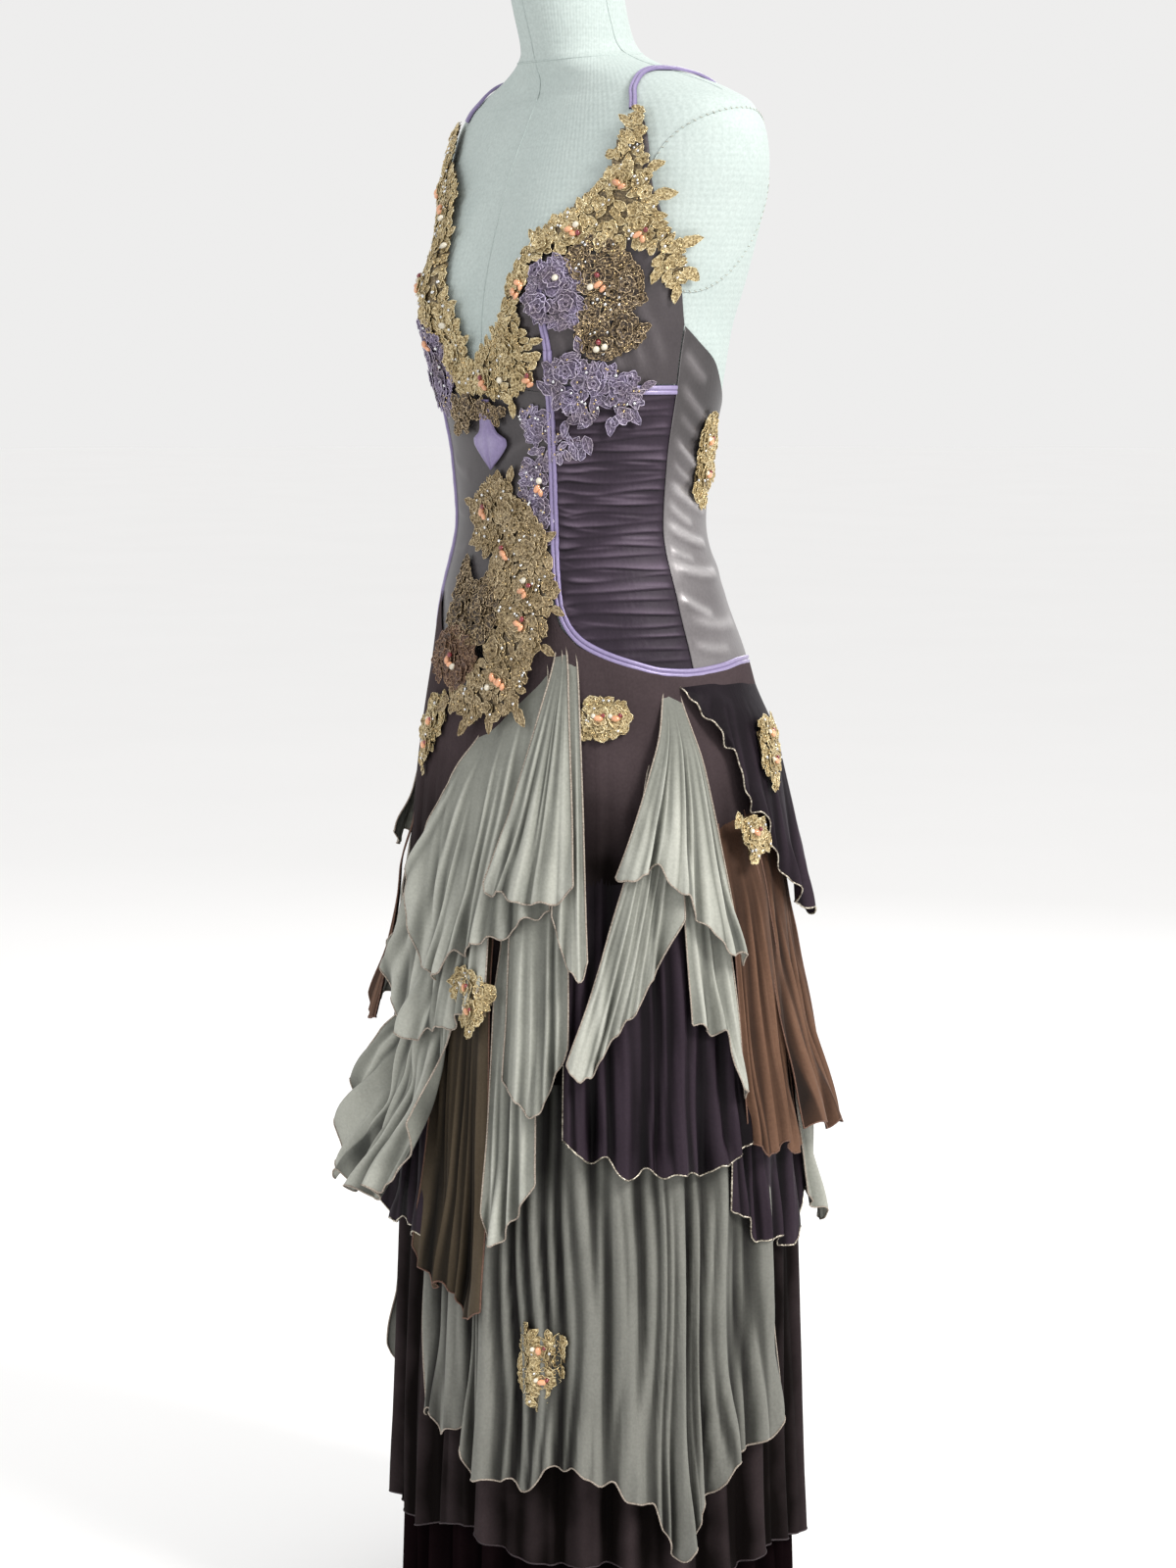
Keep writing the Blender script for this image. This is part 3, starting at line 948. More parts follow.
CUP_ROWS = [
    [2.6, 1182, 2.6, 1176], [10, 1196, 9, 1171.6], [18, 1206, 17, 1167], [23, 1222, 24, 1164.2],
    [26, 1257, 32, 1161.9], [32, 1291, 38.8, 1160.2], [44, 1311, 41.6, 1166.9], [52, 1327, 46, 1167],
    [58, 1352, 51, 1167], [62.4, 1391, 56, 1167], [65, 1391, 61, 1167], [67, 1342, 66.5, 1167],
    [71.5, 1310, 73, 1167], [78, 1277, 80, 1167], [88.4, 1218, 88.4, 1167],
]
FRONT_ROWS = [
    [-41, 1159.4, -43, 984], [-32, 1161.3, -34.5, 954], [-22, 1164.4, -24, 921], [-11, 1170, -12, 890],
    [0, 1176, 0, 867], [11, 1170, 12, 890], [22, 1164.4, 24, 921], [32, 1161.3, 34.5, 954], [41, 1159.4, 43, 984],
]
RUCHED_ROWS = [
    [41.6, 1160, 44.6, 987], [46.6, 1160, 48.4, 962], [54, 1160, 54, 946], [64.5, 1160, 65, 930.8],
    [76, 1160, 77, 920], [89.1, 1160, 89.1, 917.6],
]
BACK_ROWS = [
    [88.8, 1217, 88.8, 917.8], [98, 1201, 100, 920], [107, 1187, 111, 922], [117, 1164, 121, 921.6],
    [130, 1144, 133, 919], [143, 1130, 146, 914.6], [156, 1120, 158, 911], [168, 1115, 169, 908.4],
    [179.95, 1113, 179.95, 907],
]


def band(name, turn, height, width, thick, stand_out, nodes, closed=False, over_cup=None):
    """A band of piping along a line on the body, its face rolled into two ridges; a closed one has a back too.

    It stands out by stand_out, and by over_cup where it runs over the cup.
    """
    line = np.stack([turn, height], axis=1)
    base = on_form(line[:, 0], line[:, 1], 0)
    lengths = np.concatenate([[0], np.cumsum(np.linalg.norm(np.diff(base, axis=0), axis=1))])
    wanted = np.linspace(0, lengths[-1], int(lengths[-1] / 3.0) + 2)
    turn = smooth_curve(lengths, line[:, 0], wanted)
    height = smooth_curve(lengths, line[:, 1], wanted)
    here = on_form(turn, height, 0)
    forward = np.gradient(here, axis=0)
    forward /= np.linalg.norm(forward, axis=1)[:, None]
    normal = np.cross(on_form(turn + 0.5, height, 0) - here, on_form(turn, height + 0.5, 0) - here)
    normal /= np.linalg.norm(normal, axis=1)[:, None]
    side = np.cross(normal, forward)
    side /= np.linalg.norm(side, axis=1)[:, None]
    across = np.linspace(-1, 1, 17)
    ridges = np.sqrt(np.clip(1 - (2 * (np.abs(across) % 1.0) - 1) ** 2, 0, 1))
    ridges[[0, -1]] = 0
    face = 0.3 + 0.7 * ridges
    base_out = stand_out + ((over_cup or stand_out) - stand_out) * ease((height - 1152) / 10)
    uneven = 1 + 0.05 * np.sin(wanted * 0.11) + 0.04 * np.sin(wanted * 0.37)
    out = base_out[:, None] + thick * face[None, :] * uneven[:, None]
    out[:, 0] = out[:, -1] = base_out - 0.2
    grid = here[:, None] + normal[:, None] * out[..., None]
    grid = grid + side[:, None] * (across * width / 2)[None, :, None]
    if closed:
        under = here[:, None] + normal[:, None] * (base_out[:, None, None] - 0.5)
        under = under + side[:, None] * (across[::-1][::4] * width / 2)[None, :, None]
        grid = np.concatenate([grid, under], axis=1)
    grid = grid.transpose(1, 0, 2)
    spread = np.concatenate([ridges, np.zeros(len(grid) - len(ridges))])
    tone = np.clip(0.35 + 0.25 * spread[:, None] * np.ones(grid.shape[:2]), 0, 1)
    add_cloth("cloth_" + name, grid, LILAC, "lilac_satin", tone, nodes, closed=closed)


def add_bodice():
    for side, sign in (("left", 1), ("right", -1)):
        rows = (lambda piece: piece) if sign > 0 else mirrored
        seed = 51 if sign > 0 else 52
        cup_out = lambda turn, height, share: (
            BODICE_OUT + 3.4 * ease((height - 1290) / 40) + drags(turn, height, CUP_DRAGS, sign))
        body_piece(f"cup_{side}", rows(CUP_ROWS), CUP, "cup_satin", cup_out, 110, 60, 0.1)
        across = (lambda share: share) if sign > 0 else (lambda share: 1 - share)
        ruched_out = lambda turn, height, share: (
            BODICE_OUT - 0.4 + gather_out(turn, height, across(share), seed)
            * (0.25 + 0.75 * ease(share / 0.06) * ease((1 - share) / 0.06)))
        body_piece(f"ruched_side_{side}", rows(RUCHED_ROWS), RUCHE, "plum_chiffon", ruched_out, 60, 230,
                   0.3)
        back_out = lambda turn, height, share: BODICE_OUT + 1.1 * drags(turn, height, BACK_DRAGS, sign)
        body_piece(f"back_panel_{side}", rows(BACK_ROWS), SATIN, "satin", back_out, 110, 92,
                   0.16, 0.42)
        band(f"piping_{side}", sign * PRINCESS["turn"], PRINCESS["height"], PIPING_WIDTH, 2.3, PIPING_OUT,
             [f"piping_{side}"], over_cup=PIPING_OVER_CUP)
        seat = np.linspace(42.4, 88.8, 12)
        band(f"underbust_band_{side}", sign * seat, np.full(12, 1162.1), 8.4, 2.0, 2.2,
             [f"underbust_band_{side}"])
        band(f"strap_{side}", sign * STRAP["turn"], STRAP["height"], STRAP_WIDTH, 2.2, 1.4, [f"strap_{side}"],
             closed=True)
        rise = np.linspace(1168, 1262, 14)
        band(f"cup_piping_{side}", sign * (40.6 - 4.2 * ease((rise - 1180) / 80)), rise, 7.0, 1.8, 3.2, [])
        side_seam = np.linspace(919, 1215, 40)
        seam = seam_line(sign * 88.95, side_seam, 0.5, 3.0)
        ready(new_object(f"side_seam_{side}", *seam, SATIN), "satin")
    front_out = lambda turn, height, share: BODICE_OUT + drags(turn, height, FRONT_DRAGS, 1)
    body_piece("front_centre_panel", FRONT_ROWS, FRONT_SATIN, "satin", front_out, 100, 80,
               0.12)


# Spade-shaped ribbon tab at the centre front: half width in millimetres at each height
TAB_TURN = 7.2
TAB = table("height half", [
    [1091, 0.5], [1095, 5.4], [1102, 14.8], [1109, 22.5], [1114, 26.0], [1118, 25.4], [1121, 20.5], [1124, 14.6],
    [1130, 10.6], [1138, 9.0], [1146, 8.2], [1153, 8.0],
])


def add_ribbon_tab():
    """The tab: padded, creased down its middle, its edges turned under"""
    height = np.linspace(TAB["height"][0], TAB["height"][-1], 56)
    half = along(TAB, "half", height)
    across = np.linspace(-1, 1, 25)
    turn = TAB_TURN + (across[:, None] * half[None, :]) / 2.2
    pad = 1.3 + 2.6 * (1 - np.abs(across[:, None]) ** 2.4) * (0.4 + 0.6 * half[None, :] / 17)
    crease = -0.9 * bell(across[:, None], 0.16) * ease((1128 - height[None, :]) / 12)
    turned = 0.9 * bell(np.abs(across[:, None]) - 0.8, 0.12)
    out = BODICE_OUT + 2.0 + pad + crease + turned
    grid = on_form(turn, height[None, :], out)[:, ::-1]
    tone = np.clip(0.45 + 0.12 * (out - out.mean()), 0.1, 0.95)[:, ::-1]
    add_cloth("cloth_ribbon_tab", grid, LILAC, "lilac_satin", tone, ["ribbon_tab"])


# Lace

# How far lace stands off the form at each height; over the tops of the front layers it stands further out.
LACE_OUT = table("height out", [
    [860, 18], [880, 16.2], [905, 14], [935, 12.8], [960, 10], [985, 6.6], [1010, 4.1], [1142, 4.1], [1165, 4.7],
    [1280, 4.7], [1330, 8.1], [1420, 8.1],
])


def lace_material(name, dark, base, light, metal, rough=0.42):
    """Corded lace: dense thread with dark gaps and bright threads"""
    material, tree, shader, place = blank_material(name)
    fine = noise(tree, place["Object"], 540.0)
    thread = ramp(tree, fine, [(0.32, dark), (0.5, base), (0.68, light)])
    patches = ramp(tree, noise(tree, place["Object"], 60.0), [(0.35, (0.72, 0.68, 0.60)), (0.65, (1.0, 1.0, 1.0))])
    feed(tree, shader, {
        "Base Color": multiplied(tree, thread, patches), "Roughness": rough, "Metallic": metal,
        "Normal": bump(tree, fine, 0.7, 0.0008),
    })
    return material


# Fill, cord and ground of each kind of lace
LACE_KINDS = {
    "gold": (lace_material("gold lace", (0.13, 0.085, 0.035), (0.45, 0.35, 0.18), (0.84, 0.72, 0.45), 0.45, 0.36),
             lace_material("gold cord", (0.42, 0.32, 0.16), (0.78, 0.64, 0.37), (1.0, 0.93, 0.68), 0.5, 0.32),
             lace_material("gold ground", (0.05, 0.035, 0.018), (0.17, 0.125, 0.065), (0.36, 0.28, 0.16), 0.25)),
    "old gold": (lace_material("old gold lace", (0.09, 0.06, 0.028), (0.28, 0.21, 0.115), (0.54, 0.44, 0.27), 0.3),
                 lace_material("old gold cord", (0.30, 0.22, 0.12), (0.54, 0.42, 0.25), (0.86, 0.74, 0.50), 0.4, 0.35),
                 lace_material("old gold ground", (0.03, 0.02, 0.012), (0.11, 0.08, 0.045), (0.25, 0.19, 0.11), 0.25)),
    "bronze": (lace_material("bronze lace", (0.012, 0.008, 0.007), (0.055, 0.038, 0.028), (0.30, 0.22, 0.13), 0.4),
               lace_material("bronze cord", (0.06, 0.042, 0.026), (0.38, 0.28, 0.165), (0.92, 0.76, 0.52), 0.5, 0.3),
               lace_material("black ground", (0.005, 0.004, 0.004), (0.018, 0.013, 0.012), (0.07, 0.05, 0.034), 0.2)),
    "russet": (lace_material("russet lace", (0.03, 0.014, 0.011), (0.11, 0.062, 0.044), (0.27, 0.17, 0.115), 0.3),
               lace_material("russet cord", (0.12, 0.065, 0.045), (0.30, 0.18, 0.12), (0.60, 0.43, 0.29), 0.4),
               lace_material("russet ground", (0.012, 0.007, 0.006), (0.045, 0.025, 0.02), (0.12, 0.075, 0.052), 0.2)),
    "lilac": (lace_material("lilac lace", (0.035, 0.026, 0.05), (0.115, 0.09, 0.155), (0.27, 0.225, 0.34), 0.1),
              lace_material("lilac cord", (0.25, 0.21, 0.33), (0.46, 0.40, 0.56), (0.74, 0.69, 0.82), 0.15),
              lace_material("lilac ground", (0.02, 0.015, 0.027), (0.06, 0.046, 0.08), (0.14, 0.115, 0.18), 0.1)),
}


def uneven_colour(tree, place, scale, detail, low, colour):
    """A colour that is darker in places, by the share called low"""
    return ramp(tree, noise(tree, place, scale, detail), [(0.3, tuple(low * c for c in colour)), (0.7, colour)])


def glass(name, colour, rough=0.12, metal=0.0):
    """Beads: slightly uneven colour under a clear coat"""
    material, tree, shader, place = blank_material(name)
    feed(tree, shader, {
        "Base Color": uneven_colour(tree, place["Object"], 90.0, 2.0, 0.6, colour), "Roughness": rough,
        "Coat Weight": 0.6, "Metallic": metal,
    })
    return material


BEADS = {
    "coral": glass("coral beads", (0.84, 0.40, 0.21)),
    "pearl": glass("pearl beads", (0.80, 0.74, 0.60), 0.2),
    "red": glass("dark red beads", (0.24, 0.02, 0.03)),
    "crystal": glass("crystal beads", (0.86, 0.87, 0.88), 0.08, 0.75),
    "gold": glass("gold seed beads", (0.80, 0.60, 0.30), 0.2, 0.8),
}


def body_place(turn, height, out):
    return on_form(turn, height, along(LACE_OUT, "out", height) + out)


def waist_place(turn, height, out):
    return on_form(turn, height, 5.3 + out)


def trail_place(turn, height, out):
    return on_form(turn, height, 3.0 + 0.45 * out)


def back_place(turn, height, out):
    return on_form(turn, height, BODICE_OUT + 2.4 + out)


def skirt_place(level, off):
    return lambda turn, height, out: on_skirt(level, turn, height, off + out)


def further_out(place, by):
    """The same surface, further out"""
    return lambda turn, height, out: place(turn, height, out + by)


def settle(place, turn, height, spin, local):
    """Lays a small flat shape on a surface, turned by spin; local holds x, y and how far each point stands out."""
    local = np.asarray(local, float)
    x = local[:, 0] * math.cos(spin) - local[:, 1] * math.sin(spin)
    y = local[:, 0] * math.sin(spin) + local[:, 1] * math.cos(spin)
    here = place(np.array([turn - 0.5, turn + 0.5, turn, turn]), np.array([height, height, height - 1, height + 1]), 0)
    per_degree = np.linalg.norm(here[1] - here[0])
    per_height = np.linalg.norm(here[3] - here[2]) / 2
    return place(turn + x / per_degree, height + y / per_height, local[:, 2])


def leaf_shape(length, width, chance, back=0.55):
    """A lace leaf with a raised rim and vein: its points, faces, rim and vein"""
    t = np.linspace(0, 1, 9)[:, None]
    v = np.linspace(-1, 1, 5)[None, :]
    notch = 1 + 0.14 * np.sin(t * math.pi * 5 + chance.uniform(0, 6))
    half = width / 2 * np.sin(math.pi * t ** 0.8) ** 0.75 * notch
    bend = chance.uniform(-0.18, 0.18) * length
    x = v * half + bend * (t ** 2)
    y = (t - back) * length + 0 * v
    lift = chance.uniform(0.2, 0.9)
    out = 0.5 + lift * np.abs(v) ** 1.5 + 0.8 * lift * t ** 2 + 0.2 * np.sin(9 * t)
    grid = np.stack([x, y, out], axis=-1)
    rim = np.concatenate([grid[:, 0], grid[::-1, -1]])
    vein = grid[1:-1, 2] + np.array([0, 0, 0.25])
    return grid.reshape(-1, 3), grid_faces(9, 5).tolist(), rim, vein


def flower_shape(radius, petals, chance):
    """A lace flower whose petals rise towards their rims: its points, faces, rim and inner ring"""
    spokes = petals * 7
    angle = np.linspace(0, 2 * math.pi, spokes + 1)[:-1]
    petal = np.abs(np.sin(angle * petals / 2 + chance.uniform(0, 3))) ** 0.6
    uneven = 1 + 0.1 * np.sin(angle * 2 + chance.uniform(0, 6)) + 0.06 * np.sin(angle * 11)
    reach = radius * (0.58 + 0.42 * petal) * uneven
    rings = np.array([0.12, 0.4, 0.72, 1.0])
    out = 0.7 + np.array([0.9, 0.3, 0.9, 1.9])[None, :] * (0.6 + 0.4 * petal[:, None])
    x = np.cos(angle)[:, None] * reach[:, None] * rings
    y = np.sin(angle)[:, None] * reach[:, None] * rings
    grid = np.stack([x, y, out], axis=-1)
    rim = np.concatenate([grid[:, -1], grid[:1, -1]])
    inner = np.concatenate([grid[:, 1], grid[:1, 1]]) + np.array([0, 0, 0.3])
    faces = grid_faces(spokes, 4, closed=True).tolist()
    faces.append([k * 4 for k in range(spokes)][::-1])
    return grid.reshape(-1, 3), faces, rim, inner


def inside(outline, turn, height):
    """Which points lie inside an outline"""
    outline = np.asarray(outline, float)
    result = np.zeros(np.shape(turn), bool)
    for (x0, y0), (x1, y1) in zip(outline, np.roll(outline, -1, axis=0)):
        if y0 == y1:
            continue
        crosses = (y0 > height) != (y1 > height)
        result ^= crosses & (turn < (x1 - x0) * (height - y0) / (y1 - y0) + x0)
    return result


def scatter(outline, distance, chance):
    """Points inside an outline, at least a distance in millimetres apart"""
    outline = np.asarray(outline, float)
    low, high = outline.min(axis=0), outline.max(axis=0)
    tries = chance.uniform(low, high, (2600, 2))
    tries = tries[inside(outline, tries[:, 0], tries[:, 1])]
    kept = np.empty((0, 2))
    for spot in tries:
        gap = (kept - spot) * ON_BODY
        if len(kept) == 0 or (gap ** 2).sum(axis=1).min() > distance ** 2:
            kept = np.concatenate([kept, [spot]])
    return kept


# Size of a cell of the ground, and the radii of the cords sewn along rims and veins
GROUND_CELL = 3.1
RIM_CORD = 0.46
VEIN_CORD = 0.36


def lace_ground(outline, place):
    """The dense ground of a patch, as small cells inside its outline"""
    outline = np.asarray(outline, float)
    low, high = outline.min(axis=0), outline.max(axis=0)
    columns, rows = np.maximum(4, (high - low) * ON_BODY / GROUND_CELL).astype(int)
    turn, height = np.meshgrid(np.linspace(low[0], high[0], columns), np.linspace(high[1], low[1], rows),
                               indexing="ij")
    centre_turn = (turn[1:, 1:] + turn[:-1, :-1]) / 2
    centre_height = (height[1:, 1:] + height[:-1, :-1]) / 2
    kept = inside(outline, centre_turn, centre_height).ravel()
    bumps = 0.35 * np.sin(turn * 3.1) * np.sin(height * 1.3)
    points = place(turn, height, 0.1 + bumps).reshape(-1, 3)
    faces = grid_faces(columns, rows)[kept]
    used, compact = np.unique(faces, return_inverse=True)
    return points[used], compact.reshape(faces.shape).tolist()


def lace_patch(name, outline, kind, place, seed, flowers, flower_radius, leaf, spacing, nodes=(), ground=True,
               tips=()):
    """A patch of corded lace: flowers at the places given, leaves between them, along the edge and at the tips.

    leaf is a leaf's length and width; tips are rows of turn, height, direction in degrees and length.
    """
    chance = np.random.default_rng(seed)
    fill, cord_look, ground_look = LACE_KINDS[kind]
    slot = "lilac_lace" if kind == "lilac" else "gold_lace"
    fills, cords = [], []

    def add(shape, turn, height, spin, raise_by=0.0):
        points, faces, rim, vein = shape
        lift = np.array([0, 0, raise_by])
        fills.append((settle(place, turn, height, spin, points + lift), faces))
        for path, thick in ((rim, RIM_CORD), (vein, VEIN_CORD)):
            kept = np.append(np.arange(0, len(path) - 1, 2), len(path) - 1)
            line = settle(place, turn, height, spin, path[kept] + lift + np.array([0, 0, 0.15]))
            cords.append(tube(line, thick, 3))

    edge = np.asarray(outline, float)
    middle = edge.mean(axis=0)
    for first, second in zip(edge, np.roll(edge, -1, axis=0)):
        run = (second - first) * ON_BODY
        length = np.hypot(*run)
        for k in range(max(1, int(length / (spacing * 0.95)))):
            turn, height = first + (second - first) * (k + chance.uniform(0.2, 0.8)) * spacing * 0.95 / max(length, 1)
            outward = math.atan2(-run[0], run[1])
            toward = (middle - first) * ON_BODY
            if math.cos(outward) * toward[0] + math.sin(outward) * toward[1] > 0:
                outward += math.pi
            spin = outward - math.pi / 2 + chance.uniform(-0.7, 0.7)
            size = chance.uniform(0.75, 1.15)
            add(leaf_shape(leaf[0] * size, leaf[1] * size, chance, 0.82), turn, height, spin, chance.uniform(0, 0.8))
    for turn, height in scatter(outline, spacing, chance):
        if chance.uniform() < 0.3:
            shape = flower_shape(chance.uniform(5.5, 8.0), 5, chance)
        else:
            size = chance.uniform(0.8, 1.2)
            shape = leaf_shape(leaf[0] * size, leaf[1] * size, chance)
        add(shape, turn, height, chance.uniform(0, 6.28), chance.uniform(0.2, 1.2))
    for turn, height, degrees, length in tips:
        add(leaf_shape(length, length * 0.5, chance, 0.4), turn, height, math.radians(degrees), 0.6)
    for turn, height in flowers:
        size = flower_radius * chance.uniform(0.9, 1.12)
        add(flower_shape(size, 5, chance), turn, height, chance.uniform(0, 6.28), 1.3)
        add(flower_shape(size * 0.58, 5, chance), turn, height, chance.uniform(0, 6.28), 2.6)
    piece = ready(new_object("applique_" + name, *joined(fills), fill), slot, *nodes)
    pieces = [ready(new_object(f"applique_{name}_cord", *joined(cords), cord_look), slot)]
    if ground:
        pieces.append(ready(new_object(f"applique_{name}_ground", *lace_ground(outline, place), ground_look), slot))
    areas = np.empty(len(piece.data.polygons))
    piece.data.polygons.foreach_get("area", areas)


def bead(centre, size, stretch=1.0, spin=0.0):
    """A round or drop-shaped bead; the smallest ones have fewer sides"""
    rings, spokes = (6, 8) if size > 1.7 else (4, 6)
    polar = np.linspace(0, math.pi, rings + 1)[1:-1]
    around = np.arange(spokes) * 2 * math.pi / spokes
    x = np.sin(polar)[:, None] * np.cos(around)[None, :] * size
    z = np.sin(polar)[:, None] * np.sin(around)[None, :] * size
    y = np.cos(polar)[:, None] * size * stretch + 0 * x
    along_x = x * math.cos(spin) - y * math.sin(spin)
    along_y = x * math.sin(spin) + y * math.cos(spin)
    local = np.stack([along_x, along_y, z], axis=-1).reshape(-1, 3)
    top = np.array([[-math.sin(spin), math.cos(spin), 0]]) * size * stretch
    points = np.concatenate([local, top, -top])
    faces = []
    for i in range(rings - 2):
        for k in range(spokes):
            a, b = i * spokes + k, i * spokes + (k + 1) % spokes
            faces.append([a, b, b + spokes, a + spokes])
    last = (rings - 2) * spokes
    for k in range(spokes):
        faces.append([len(local), (k + 1) % spokes, k])
        faces.append([len(local) + 1, last + k, last + (k + 1) % spokes])
    turn, height, out, place = centre
    return settle(place, turn, height, 0.0, points + np.array([0, 0, out])), faces


# Hand-placed bead clusters on the bodice, in turns and heights
CORAL = [
    [57.2, 1338], [43.7, 1299], [64.9, 1294], [55.3, 1252], [28.6, 1254], [27.3, 1246], [32.4, 1170], [8.8, 1167],
    [35.0, 1076], [-0.8, 1053], [16.3, 1018], [29.0, 987], [28.6, 959], [-7.4, 921], [18.7, 911], [21.8, 907],
    [-39.6, 1322], [-37.5, 1253], [-57.2, 1338], [-30, 1200],
]
PEARL = [
    [45.9, 1303], [41.7, 1258], [53.0, 1250], [57.1, 1197], [59.8, 1199], [20.0, 1170], [36.1, 1083], [29.6, 996],
    [-3.4, 916], [16.9, 902], [-33.4, 1313], [-23.5, 1288], [-16.3, 1217], [-41, 1258],
]
RED = [
    [46.9, 1296], [66.9, 1298], [54.6, 1260], [32.9, 1174], [0.4, 1058], [15.0, 1023], [32.2, 992], [30.6, 963],
    [-6.0, 926], [57.6, 1203], [-37, 1262], [8.0, 1172],
]


def other_side(places):
    return [[-turn, height] for turn, height in places]


def add_lace():
    cup = [
        [-10, 1172], [2, 1183], [11, 1200], [22, 1226], [24, 1253], [27, 1276], [34, 1301], [45, 1321], [52, 1337],
        [56, 1356], [57, 1373], [61, 1395], [65, 1403], [65, 1390], [63.5, 1368], [65, 1350], [67, 1330], [70, 1312],
        [73, 1300], [79, 1284], [82, 1262], [81, 1250], [76, 1268], [71, 1284], [66, 1292], [58, 1288],
        [50, 1290], [44, 1288], [36, 1284], [30, 1270], [26.5, 1247], [26.5, 1226], [30, 1207], [33.5, 1190],
        [33, 1170], [28, 1158], [21, 1154], [13, 1157], [4, 1160], [-4, 1156], [-11, 1160],
    ]
    lace_patch("cup_left", cup, "gold", body_place, 61, nodes=["lace_cup_left"],
               flowers=[[57.5, 1342], [44.5, 1298], [65, 1304], [34, 1288], [27, 1254], [29, 1172], [8, 1170],
                        [23, 1196]], flower_radius=12, spacing=7.2, leaf=(13.5, 7.5),
               tips=[[60, 1390, 62, 17], [60.5, 1376, 75, 15], [67, 1352, -60, 17], [70, 1328, -75, 22],
                     [80, 1288, -80, 22], [83.5, 1262, -120, 22], [81, 1246, -160, 18], [73, 1262, 160, 18],
                     [30, 1294, 50, 13], [15, 1212, 60, 12], [36, 1204, -70, 13],
                     [24, 1146, 175, 16], [6, 1150, 160, 15]])
    bronze_cup = [
        [44, 1280], [50, 1290], [59, 1286], [68, 1262], [70, 1240], [66, 1228], [60, 1222], [56, 1214], [62, 1212],
        [71, 1222], [74, 1212], [71, 1201], [63, 1190], [54, 1196], [50, 1208], [52, 1222], [54, 1240], [48, 1262],
    ]
    lace_patch("cup_bronze", bronze_cup, "bronze", further_out(body_place, 0.4), 62,
               flowers=[[55, 1258], [64, 1252], [58, 1200], [66, 1214]], flower_radius=12.5, spacing=6.4,
               leaf=(13, 7.5))
    lilac_cup = [[32, 1246], [34, 1270], [43, 1276], [50, 1254], [51, 1232], [47, 1214], [40, 1216], [34, 1228]]
    lace_patch("cup_lilac", lilac_cup, "lilac", further_out(body_place, 0.5), 63,
               flowers=[[41, 1256], [46, 1236], [37, 1234]], flower_radius=13, spacing=8.4, leaf=(15, 8), ground=False)
    lilac_waist = [
        [39, 1164], [41, 1184], [49, 1195], [55, 1185], [62, 1184], [68, 1178], [73, 1166], [75, 1156], [71, 1148],
        [68, 1138], [64, 1150], [59, 1144], [54, 1128], [49, 1142], [44, 1152],
    ]
    lace_patch("waist_lilac", lilac_waist, "lilac", further_out(waist_place, 0.4), 64,
               nodes=["lace_waist_left"], flowers=[[47, 1178], [57, 1168], [66, 1164]], flower_radius=12,
               spacing=9.2, leaf=(16, 8.5), ground=False,
               tips=[[72, 1140, -150, 18], [64, 1132, 180, 17], [56, 1116, -160, 18], [47, 1130, 165, 15],
                     [76, 1166, -80, 14], [51, 1200, 10, 15]])
    trail = [
        [27, 1143], [33, 1148], [38.5, 1143], [41, 1126], [48, 1122], [57, 1118], [57, 1112], [49, 1110], [42, 1104],
        [38.5, 1084], [38, 1062], [38, 1040], [38, 1028], [34, 1030], [29, 1050], [25, 1074], [26, 1092], [31, 1112],
    ]
    lace_patch("trail", trail, "lilac", trail_place, 65,
               nodes=["lace_trail"], flowers=[[33, 1088], [35, 1128], [35, 1058]], flower_radius=11, spacing=8.6,
               leaf=(13, 7), ground=False)
    column = [
        [2, 1082], [12, 1086], [19, 1078], [22, 1064], [30, 1058], [35, 1040], [38, 1022], [42, 1004], [43, 986],
        [39, 966], [40, 952], [34, 934], [32, 913], [28, 886], [22, 874], [15, 880], [10, 868], [3, 876], [-6, 884],
        [6, 902], [14, 920], [20, 940], [19, 960], [17, 979], [10, 996], [9, 1012], [2, 1024], [-6, 1032], [-12, 1046],
        [-8, 1066], [0, 1076],
    ]
    lace_patch("column", column, "old gold", body_place, 66, nodes=["lace_centre_column"],
               flowers=[[0, 1052], [17, 1058], [16, 1016], [30, 1024], [30, 990], [28, 958], [34, 942], [20, 908],
                        [18, 934]], flower_radius=13, spacing=7.4, leaf=(15, 8),
               tips=[[20, 1086, -30, 16], [-13, 1060, 70, 18], [-9, 1028, 120, 16],
                     [40, 1034, -50, 14], [44, 972, -110, 15], [40, 938, -120, 16], [30, 880, -160, 20],
                     [18, 872, 175, 18], [6, 866, 160, 20], [-8, 880, 130, 20]])
    black = [
        [-13, 1010], [-8, 996], [0, 988], [6, 1000], [14, 996], [16, 972], [14, 948], [4, 936], [-4, 944], [-12, 948],
        [-16, 966], [-14, 986],
    ]
    lace_patch("column_black", black, "bronze", further_out(body_place, -0.5), 67,
               flowers=[[-8, 966], [6, 968]], flower_radius=13, spacing=7.0, leaf=(15, 8), ground=False)
    russet = [[-16, 942], [-8, 950], [2, 944], [8, 928], [6, 908], [-6, 900], [-16, 906], [-20, 924]]
    lace_patch("column_russet", russet, "russet", further_out(body_place, -0.2), 68,
               flowers=[[-8, 924], [0, 910], [-13, 934]], flower_radius=13, spacing=7.2, leaf=(15, 8.5))
    far_gold = [
        [-2, 1176], [-8, 1200], [-13, 1226], [-18, 1252], [-21, 1276], [-25, 1300], [-31, 1332], [-40, 1352],
        [-52, 1366], [-60, 1396], [-65, 1403], [-65, 1385], [-62, 1350], [-55, 1322], [-46, 1296], [-39, 1270],
        [-34, 1244], [-29, 1226], [-23, 1210], [-16, 1190], [-12, 1168],
    ]
